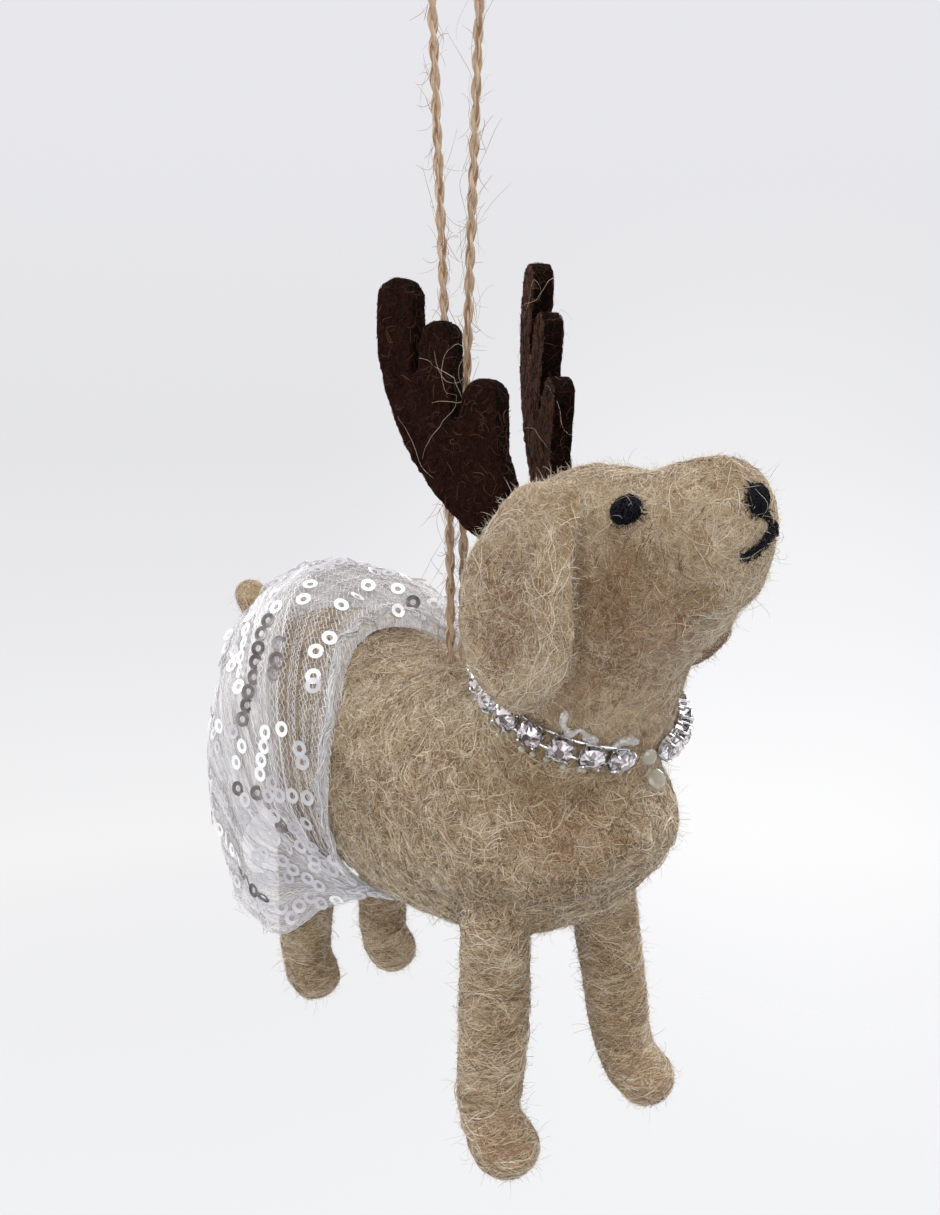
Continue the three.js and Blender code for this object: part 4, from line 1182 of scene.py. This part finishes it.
chain = Gather()
rng = np.random.default_rng(71)
for index in range(CUPS):
    here = cup_frame(index)
    points, faces = tray()
    chain.add(placed(points, here), faces)
    for quarter in range(4):
        a = math.pi / 4 + math.pi / 2 * quarter
        outwards = np.array([math.cos(a), math.sin(a), 0])
        line = [outwards * out + np.array([0, 0, up]) for out, up in CLAW]
        points, faces = bent_bar(line, CLAW_HALVES)
        chain.add(placed(points, here), faces)
    if index < CUPS - 1:
        there = cup_frame(index + 1)
        for level in (-BAR_SIDE, BAR_SIDE):
            start = placed([[BAR_END, level, BAR_UP]], here)[0] / MM
            end = placed([[-BAR_END, level, BAR_UP]], there)[0] / MM
            points, faces = bent_bar(np.linspace(start, end, 4), (BAR_HALF,) * 4, 8)
            chain.add(points * MM, faces)
    points, faces, tags = brilliant(rng)
    gem = Gather()
    gem.add(placed(points, here @ Matrix.Rotation(rng.uniform(0, 6.28), 4, "Z")), faces, tags)
    number = f"{index + 1:02d}"
    piece(f"gem_{number}", gem.mesh(f"gem_{number}", "facet"), crystal.material, "dog", "crystal",
          f"stone_{number}", smooth=False)
piece("necklace_chain", chain.mesh("necklace_chain"), METAL, "dog", "silver_chain", "cup_chain",
      smooth=False)


# Set glue: runs and drops as (x, y, z, radius), a drop also with its flatness

GLUE = speckled("clear_glue", 620.0, 2.0, [(0.35, (240, 236, 230)), (0.6, (255, 254, 252))], 0.2,
                Roughness=0.04, Transmission_Weight=0.68, Coat_Weight=1, IOR=1.45)
MILKY = speckled("milky_glue", 480.0, 2.0, [(0.35, (188, 179, 158)), (0.62, (212, 205, 188))],
                 Roughness=0.1, Transmission_Weight=0.3, Coat_Weight=0.7)
GLUE_RUNS = {
    "run_upper": [
        (33.7, -10.0, 0.3, 0.62), (33.5, -10.1, -0.5, 0.46), (33.7, -9.8, -1.4, 0.42),
        (34.1, -9.3, -1.9, 0.5), (34.8, -8.8, -1.4, 0.34), (35.1, -8.3, -1.7, 0.4),
        (35.3, -7.8, -2.5, 0.55), (35.8, -7.1, -2.6, 0.66),
    ],
    "run_lower": [
        (36.0, -6.4, -3.6, 0.3), (36.2, -5.8, -3.7, 0.4), (36.6, -4.9, -3.6, 0.42),
        (37.2, -3.9, -3.0, 0.62), (37.4, -3.1, -3.1, 0.78), (37.5, -1.9, -3.4, 0.5),
    ],
}
GLUE_DROPS = {"drop_gap": (36.5, 1.6, -6.2, 1.3, 0.6), "drop_low": (34.8, 4.3, -10.4, 1.5, 0.5)}
DROPLETS = [
    (25.4, -13.0, -3.4, 0.36), (28.7, -12.3, -4.6, 0.5), (30.0, -11.7, -5.1, 0.42),
    (31.5, -10.8, -5.6, 0.44), (33.0, -9.5, -6.4, 0.46), (34.2, -8.0, -6.8, 0.52),
    (34.5, -7.4, -7.0, 0.44),
]
BALL_SIDES, BALL_BANDS = 14, 10


def ball(at, up, size, flatten=1.0):
    """A closed ball, pressed flat along a surface's normal."""
    turns = angles_round(BALL_SIDES)
    side = unit(np.cross(up, [0.3, 0.2, 0.9]))
    face = np.cross(up, side)
    rings = []
    for k in range(1, BALL_BANDS):
        polar = math.pi * k / BALL_BANDS
        rings.append(at + size * MM * (
            np.sin(polar) * (np.cos(turns)[:, None] * side + np.sin(turns)[:, None] * face)
            + flatten * np.cos(polar) * up))
    return stacked(rings[::-1])


def on_the_wool(x, y, z):
    at, up = body.surface.onto(np.array([dog_point(x, y, z)]))
    return at[0], up[0]


def set_glue(word, balls, material, steps, bump):
    """A run or drop of glue from its balls, with a bump of (size, height)."""
    name = f"glue_{word}"
    mesh = shaped(balls.mesh(name), steps + [bumped(f"{name}_bumps", *bump)])
    piece(f"set_{name}", mesh, material, "dog", "set_glue", name)


for word, beads in GLUE_RUNS.items():
    run_of_beads = Gather()
    line = smooth_path([dog_point(*bead[:3]) for bead in beads], 0.16 * MM)
    sizes = np.interp(np.linspace(0, 1, len(line)), np.linspace(0, 1, len(beads)),
                      [bead[3] for bead in beads])
    for at, up, size in zip(*body.surface.onto(line), sizes):
        run_of_beads.add(*ball(at + up * 0.6 * MM, up, size))
    set_glue(word, run_of_beads, GLUE, [remeshed(0.13), smoothed(4)], (1.0, 0.4))
for word, (x, y, z, size, flatten) in GLUE_DROPS.items():
    at, up = on_the_wool(x, y, z)
    up = unit(up + [0.35, -0.6, 0.1])
    drop = Gather()
    drop.add(*ball(at + up * 0.5 * MM, up, size, flatten))
    set_glue(word, drop, MILKY, [("SUBSURF", {"levels": 1})], (2.2, 0.25))
droplets = Gather()
for x, y, z, size in DROPLETS:
    at, up = on_the_wool(x, y, z)
    droplets.add(*ball(at + up * 0.4 * MM, up, size))
piece("glue_droplets", droplets.mesh("glue_droplets"), MILKY, "dog", "set_glue")


# Skirt: a wrinkled sheet of knitted net with its strands, rim wisps and ring sequins.
# along goes from 0 at the rim to 1 at the hem, and angle round from the back

INNER = 2.9  # from the fan's axis to the cloth under the belly
# the fan's angle in degrees, at the rim over the back, by how much less at its flanks, and at the
# hem over the back, the flanks and the belly
WAIST, WAIST_DIP = 11, 15
HEM_BACK, HEM_FLANK, HEM_BELLY = 76, 105, 22
# how far the cloth reaches and its half width, at the rim and the hem, what it swells by between
# them, and what its hem is drawn in by
RIM_REACH, HEM_REACH, SWELL_REACH, DRAWN_REACH = 46.4, 46, 61.6 - 46.2, 2.2
RIM_WIDTH, HEM_WIDTH, SWELL_WIDTH, DRAWN_WIDTH = 18.6, 18, 21.8 - 18.3, 0.8
FLUTES, FLUTE_HEIGHT = 10, 0.7  # at the hem
INSET = 0.45  # of the net, from the form of the solid skirt


def skirt_points(along, angle, inset=0.0):
    """Where the smooth cloth is, in metres."""
    turn = np.degrees(np.abs(angle))
    to_flank, to_belly = smoothstep(turn, 0, 110), smoothstep(turn, 110, 180)
    hem = HEM_BACK + (HEM_FLANK - HEM_BACK) * to_flank
    hem = hem + (HEM_BELLY - hem) * to_belly
    waist = WAIST - WAIST_DIP * np.sin(angle) ** 2
    fan = np.radians(waist + (hem - waist) * along)
    swell = np.sin(np.pi * along ** 0.68)
    drawn_in = smoothstep(along, 0.5, 0.9) * (1 - to_belly)
    reach = (RIM_REACH + (HEM_REACH - RIM_REACH) * along + swell * SWELL_REACH
             - DRAWN_REACH * drawn_in)
    half_width = (RIM_WIDTH + (HEM_WIDTH - RIM_WIDTH) * along + swell * SWELL_WIDTH
                  - DRAWN_WIDTH * drawn_in)
    fold = FLUTE_HEIGHT * along * np.cos(FLUTES * angle)
    half = (reach - INNER) / 2
    outwards = INNER + half + (half - inset + fold) * np.cos(angle)
    across = (half_width - inset + fold) * np.sin(angle)
    x, z = FAN[0] - outwards * np.sin(fan), FAN[1] + outwards * np.cos(fan) - DROP
    return np.stack([x, across, z], -1) * MM


def skirt_normals(along, angle):
    e = 1e-3
    down = (skirt_points(np.minimum(along + e, 1), angle)
            - skirt_points(np.maximum(along - e, 0), angle))
    sideways = skirt_points(along, angle + e) - skirt_points(along, angle - e)
    return unit(np.cross(sideways, down))


waves = np.random.default_rng(81)


def wave_set(count, low, high, most_turns, least):
    """Waves of (how many down, how many round, phase, height)."""
    return [(waves.uniform(low, high), waves.integers(1, most_turns) * waves.choice([-1, 1]),
             waves.uniform(0, 6.3), waves.uniform(least, 1)) for _ in range(count)]


FOLDS = wave_set(8, 24, 74, 5, 0.4)
RIBS = wave_set(12, 100, 210, 9, 0.3)


def crinkle(along, angle):
    """Height of the cloth's creases: folds and narrow ribs that run round the body with the rows
    of thread, pulled together here and there."""
    broad, ribs = (
        sum(w * np.sin(k * along + n * angle + p) for k, n, p, w in waves_here) / 4
        for waves_here in (FOLDS, RIBS)
    )
    pull = np.sin(23 * angle + 9 * along) * np.clip(np.sin(3 * angle + 6 * along + 1), 0, 1)
    return 0.4 * broad + 0.3 * ribs + 0.16 * pull


def cloth_at(along, angle, lift=0.0):
    """Points at a lift over the creased cloth, and the smooth cloth's normals."""
    normals = skirt_normals(along, angle)
    rise = (crinkle(along, angle) + lift) * MM
    return skirt_points(along, angle, INSET) + normals * rise[..., None], normals


AROUND, DOWN = 320, 240
angles = -np.pi + 2 * np.pi * np.arange(AROUND + 1) / AROUND
grid_along, grid_angle = np.meshgrid(np.linspace(0, 1, DOWN), angles, indexing="ij")
sheet_points, _ = cloth_at(grid_along, grid_angle)
row = np.arange(DOWN - 1)[:, None] * (AROUND + 1)
col = np.arange(AROUND)[None]
sheet_faces = np.stack(
    [row + col, row + col + 1, row + AROUND + col + 2, row + AROUND + col + 1], -1).reshape(-1, 4)
sheet_mesh = mesh_from("skirt_net", sheet_points, sheet_faces)
weave = sheet_mesh.uv_layers.new(name="weave")
spread = np.stack([grid_angle / (2 * np.pi) + 0.5, grid_along], -1).reshape(-1, 2)
weave.data.foreach_set("uv", spread[sheet_faces.ravel()].astype(np.float32).ravel())

OPEN_SPOT = (0.17, 0.325, 0)  # where the net lets the leg's wool show, in the weave's map
net = cloth_look("net_cloth", 0.5, 0.3, 0.5)
net_map = node(net.tree, "UVMap", uv_map="weave").outputs["UV"]


def along_threads(round_count, down_count, detail):
    """Noise drawn out along the rows of thread."""
    stretched = node(net.tree, "VectorMath", net_map, (round_count, down_count, 1),
                     operation="MULTIPLY").outputs["Vector"]
    return net.noise(1.0, detail, Vector=stretched, Distortion=0.5)


net_rows = along_threads(34.0, 210.0, 3.0)
net_bands = along_threads(7.0, 26.0, 2.0)
net.drive("Base Color", mixed(
    painted(net_rows, [(0.36, (222, 219, 221)), (0.58, (254, 253, 253))]),
    ramp(net_bands, [(0.34, (0.84, 0.82, 0.82)), (0.6, 1.0)]),
))
from_spot = node(net.tree, "VectorMath", net_map, OPEN_SPOT,
                 operation="DISTANCE").outputs["Value"]
net_down = node(net.tree, "SeparateXYZ", net_map).outputs["Y"]
cover = mixed(ramp(net_rows, [(0.36, 0.74), (0.6, 1.0)]),
              ramp(net_bands, [(0.32, 0.6), (0.52, 1.0)]))
cover = mixed(cover, ramp(from_spot, [(0.018, 0.15), (0.045, 1.0)]))
# open just under the rim, close towards the hem
net.drive("Alpha", mixed(cover, ramp(net_down, [
    (0.0, 0.6), (0.045, 0.1), (0.15, 0.12), (0.24, 0.86), (0.42, 0.84), (0.6, 0.66),
])))
net.bump(net_rows, 0.25)
skirt_net = piece("skirt_net", sheet_mesh, net.material, "dog", "sequin_net", "skirt")

# rows of knitted thread, thinner where the net is open
THREAD = fibre_material("net_thread", (226, 223, 225), (250, 249, 250), (198, 195, 198),
                        (254, 254, 254), roughness=0.3, sheen=0.2)
NET_THREAD = (THREAD, "dog", "sequin_net")
ROWS, CELLS, PER_CELL = 150, 104, 4
OPEN_ROWS = (0.1, 0.055)  # the middle and half the width of the open band, along the cloth
EDGE_WISPS = 320
rng = np.random.default_rng(82)
stitch = np.arange(CELLS * PER_CELL + 1)
row_number = np.arange(ROWS)[:, None]
zigzag = np.array([0.5, 0.5, -0.5, -0.5])[stitch % PER_CELL] * 0.86
row_angle = np.tile(stitch / stitch[-1] * 2 * np.pi - np.pi, (ROWS, 1))
row_sign = np.where(row_number % 2, 1, -1)
drift = np.cumsum(rng.normal(0, 0.04, (ROWS, len(stitch))), axis=1)
drift -= np.linspace(0, 1, len(stitch)) * drift[:, -1:]
bunch = 0.9 * np.sin(3 * row_angle + 0.09 * row_number) * np.sin(0.33 * row_number)
row_along = (row_number + 0.5 + row_sign * zigzag + np.clip(drift, -0.45, 0.45) + bunch) / ROWS
row_along = np.clip(row_along, 0.0, 1.0)
row_points, row_normals = cloth_at(row_along, row_angle, 0.1)
row_points = row_points + row_normals * (rng.normal(0, 0.07, (ROWS, 1)) * MM)[..., None]
is_open = np.abs(row_along.mean(axis=1) - OPEN_ROWS[0]) < OPEN_ROWS[1]
skirt_strands, open_strands = (
    ribbons(name, row_points[rows], row_normals[rows], width, rng, *NET_THREAD)
    for name, rows, width in (("skirt_strands", ~is_open, 0.12),
                              ("skirt_open_strands", is_open, 0.085))
)


def wisps(name, at_along, seed, spread):
    """Loose ends and rolled loops of net thread along an edge of the cloth."""
    rng = np.random.default_rng(seed)
    count = some(EDGE_WISPS)
    angle = rng.uniform(-np.pi, np.pi, count)
    direction = rng.choice([-1, 1], count)
    along = at_along + rng.normal(0, spread, count)
    height = np.abs(rng.normal(0, 0.3, count))
    lines = []
    for _ in range(11):
        p, n = cloth_at(np.clip(along, 0.0, 1.0), angle)
        lines.append(p + n * (height * MM)[:, None])
        angle = angle + direction * 0.02 * rng.uniform(0.4, 1.2, count)
        along = along + rng.normal(0, spread * 0.35, count)
        height = np.abs(height + rng.normal(0, 0.12, count))
    return threads(name, np.stack(lines, 1), 0.1, rng, *NET_THREAD)


rim = wisps("skirt_rim_wisps", 0.014, 83, 0.012)
hem_edge = wisps("skirt_hem_wisps", 0.985, 84, 0.014)

# the rim's rolled selvage
ROLL_STRANDS, ROLL_STEPS = 20, 420
rng = np.random.default_rng(86)
t = np.linspace(-np.pi, np.pi, ROLL_STEPS)
roll_centre, roll_out = cloth_at(0.014 + 0.005 * np.sin(7 * t) + 0.003 * np.sin(19 * t + 1), t, 0.1)
roll_side = np.cross(unit(np.gradient(roll_centre, axis=0)), roll_out)
roll_lines = []
for k in range(ROLL_STRANDS):
    phase = 7 * t + 1.6 * np.sin(5 * t + 0.7 * k) + 2 * np.pi * k / ROLL_STRANDS
    radius = (0.42 + 0.2 * np.sin(9 * t + 1.9 * k) + 0.12 * np.sin(41 * t + 2 * k)) * MM
    roll_lines.append(roll_centre + roll_out * (0.6 * radius * np.cos(phase))[:, None]
                      + roll_side * (radius * np.sin(phase))[:, None])
roll = threads("skirt_rim_roll", np.array(roll_lines), 0.17, rng, *NET_THREAD)


# Sequins

sequin = Look("sequin_foil", Metallic=0.1, Specular_IOR_Level=0.35, Roughness=0.3)
sequin_tone = node(sequin.tree, "Attribute", attribute_name="tone").outputs["Fac"]
# the colour is partly each sequin's own shade and partly painted reflection: noise paints lighter
# and darker parts across each ring, and the brightest tones are painted highlights
sequin.drive("Base Color", painted(scaled(sequin.noise(700.0, 2.0), 0.34, sequin_tone), [
    (0.13, (62, 54, 53)), (0.27, (128, 120, 119)), (0.42, (204, 201, 206)),
    (0.8, (240, 239, 243)), (1.0, (255, 255, 255)),
]))
# pale sequins are thin clear film
sequin.drive("Alpha", ramp(sequin_tone, [(0.26, 1.0), (0.34, 0.55), (0.66, 0.6), (0.8, 1.0)]))
OUTER, HOLE, THICK = 1.2, 0.52, 0.07
SIDES = 20
RING_LIFT = 0.42
RING_PITCH = 2.55
LEAST_APART = 2.2
FIRST_ROW, LAST_ROW = 0.045, 0.985
LOOK_AHEAD = 0.02  # radians round the body, to find the direction of a row
FRONT_RIGHT = np.array([0.77, -0.62, 0.15])  # the way that the known rings lean
# rings that can be told one from another: (along, angle), by how they catch the light, which their
# tones paint in as highlights on the bright ones
BRIGHT_RINGS = [
    (0.135, -0.48), (0.127, -0.63), (0.051, -0.4), (0.04, -0.72), (0.063, -0.88), (0.206, -0.75),
    (0.061, -0.03), (0.056, 0.23), (0.012, 0.12), (0.058, -1.04), (0.213, -1.52), (0.241, -1.6),
    (0.26, -1.67), (0.277, -1.74), (0.357, -1.55), (0.402, -1.6), (0.438, -1.34), (0.144, -1.47),
]
DARK_RINGS = [
    (0.228, -0.85), (0.237, -0.95), (0.237, -1.05), (0.245, -1.13), (0.248, -1.22), (0.261, -1.3),
    (0.276, -1.37), (0.307, -1.43), (0.164, -1.0), (0.166, -1.1), (0.167, -1.18), (0.03, 0.3),
    (0.345, -1.82), (0.454, -1.7), (0.303, -2.04),
]
PALE_RINGS = [
    (0.054, -1.09), (0.087, -1.52), (0.075, -1.58), (0.273, -1.86), (0.069, -1.79),
    (0.294, -1.97), (0.317, -2.2), (0.563, -2.14), (0.605, -2.21), (0.628, -2.32),
    (0.685, -2.39), (0.294, -2.31), (0.861, -2.26), (0.936, -2.34), (0.938, -2.05),
    (0.867, -2.01), (0.889, -2.15), (0.622, -1.95), (0.695, -2.02), (0.206, -1.86),
    (0.139, -1.84),
]
TONES, TONE_ODDS = [0.02, 0.35, 0.5, 0.6, 0.92], [0.03, 0.29, 0.34, 0.25, 0.09]


def ring_form():
    """A shallow dished ring in mm."""
    points = np.concatenate([circle(radius, SIDES, height) for radius, height in (
        (HOLE, -0.03), (OUTER, 0.06), (OUTER, 0.06 + THICK), (HOLE, -0.03 + THICK),
    )])
    faces = []
    for k in range(4):
        here, there = k * SIDES, (k + 1) % 4 * SIDES
        for i in range(SIDES):
            j = (i + 1) % SIDES
            faces.append([here + i, here + j, there + j, there + i])
    return points, faces


def cloth_point(along, angle):
    return cloth_at(np.array([along]), np.array([angle]))[0][0]


rng = np.random.default_rng(85)
spots = []  # (along, angle, tone, tilt in degrees, 1 for a known ring)
for rings, tone, tilt in ((BRIGHT_RINGS, 0.85, 12), (DARK_RINGS, 0.02, 30), (PALE_RINGS, 0.45, 14)):
    for along, angle in rings:
        spots.append((along, angle, tone + rng.uniform(0, 0.1), tilt * rng.uniform(0.7, 1), 1))
taken = [cloth_point(along, angle) for along, angle, *_ in spots]
level = FIRST_ROW
while level < LAST_ROW:
    angle = -np.pi + rng.uniform(0, 0.2)
    slope = rng.normal(0, 0.006)
    while angle < np.pi:
        tone = rng.choice(TONES, p=TONE_ODDS)
        for _ in range(int(rng.choice([1, 2, 3, 5, 8]))):
            along = level + slope * angle + rng.normal(0, 0.0015)
            here, ahead = cloth_point(along, angle), cloth_point(along, angle + LOOK_AHEAD)
            apart = min(np.linalg.norm(here - other) for other in taken)
            # the known rings are all that lies under the rim on the photograph's side
            known_only = -1.95 < angle < -0.3 and along < 0.2
            on_cloth = 0.03 < along < LAST_ROW and angle < np.pi - 0.03
            if on_cloth and apart > LEAST_APART * MM and not known_only:
                spots.append((along, angle, tone + rng.uniform(-0.05, 0.1), rng.uniform(4, 26), 0))
                taken.append(here)
            angle += LOOK_AHEAD * RING_PITCH * MM / np.linalg.norm(ahead - here)
        angle += rng.uniform(0.06, 0.42)
    level += rng.uniform(0.045, 0.075)
spots = np.array(spots)
places, outs = cloth_at(spots[:, 0], spots[:, 1], RING_LIFT)
ahead, _ = cloth_at(spots[:, 0], spots[:, 1] + LOOK_AHEAD, RING_LIFT)
sequins = Gather()
ring_points, ring_faces = ring_form()
for (_, _, tone, tilt, known), p, n, q in zip(spots, places, outs, ahead):
    x = unit(q - p)
    y = np.cross(n, x)
    turn = rng.uniform(0, 2 * np.pi)
    axis = x * math.cos(turn) + y * math.sin(turn)
    sense = rng.choice([-1, 1])
    if known:
        axis, sense = unit(np.cross(n, FRONT_RIGHT)), 1
    axes = turned(np.stack([x, y, n]), np.repeat(axis[None], 3, 0),
                  np.full(3, math.radians(tilt) * sense))
    sequins.add(ring_points @ axes * MM + p, ring_faces, float(np.clip(tone, 0, 1)))
sequin_piece = piece("sequins", sequins.mesh("sequins", "tone"), sequin.material, "dog",
                     "sequin_net", smooth=False)

cloth_area = float(Surface(skirt_net.data).area)


# Pieces kept as they are, inside the wool

STEEL = speckled("plain_wire", 900.0, 3.0, [(0.35, (120, 121, 124)), (0.65, (186, 187, 190))],
                 Metallic=1, Roughness=0.4)
for name, material in (("front_leg_wire", STEEL), ("rear_leg_wire", STEEL),
                       ("spine_wire", STEEL), ("twine_knot", JUTE)):
    nodes[name].data.materials.clear()
    nodes[name].data.materials.append(material)
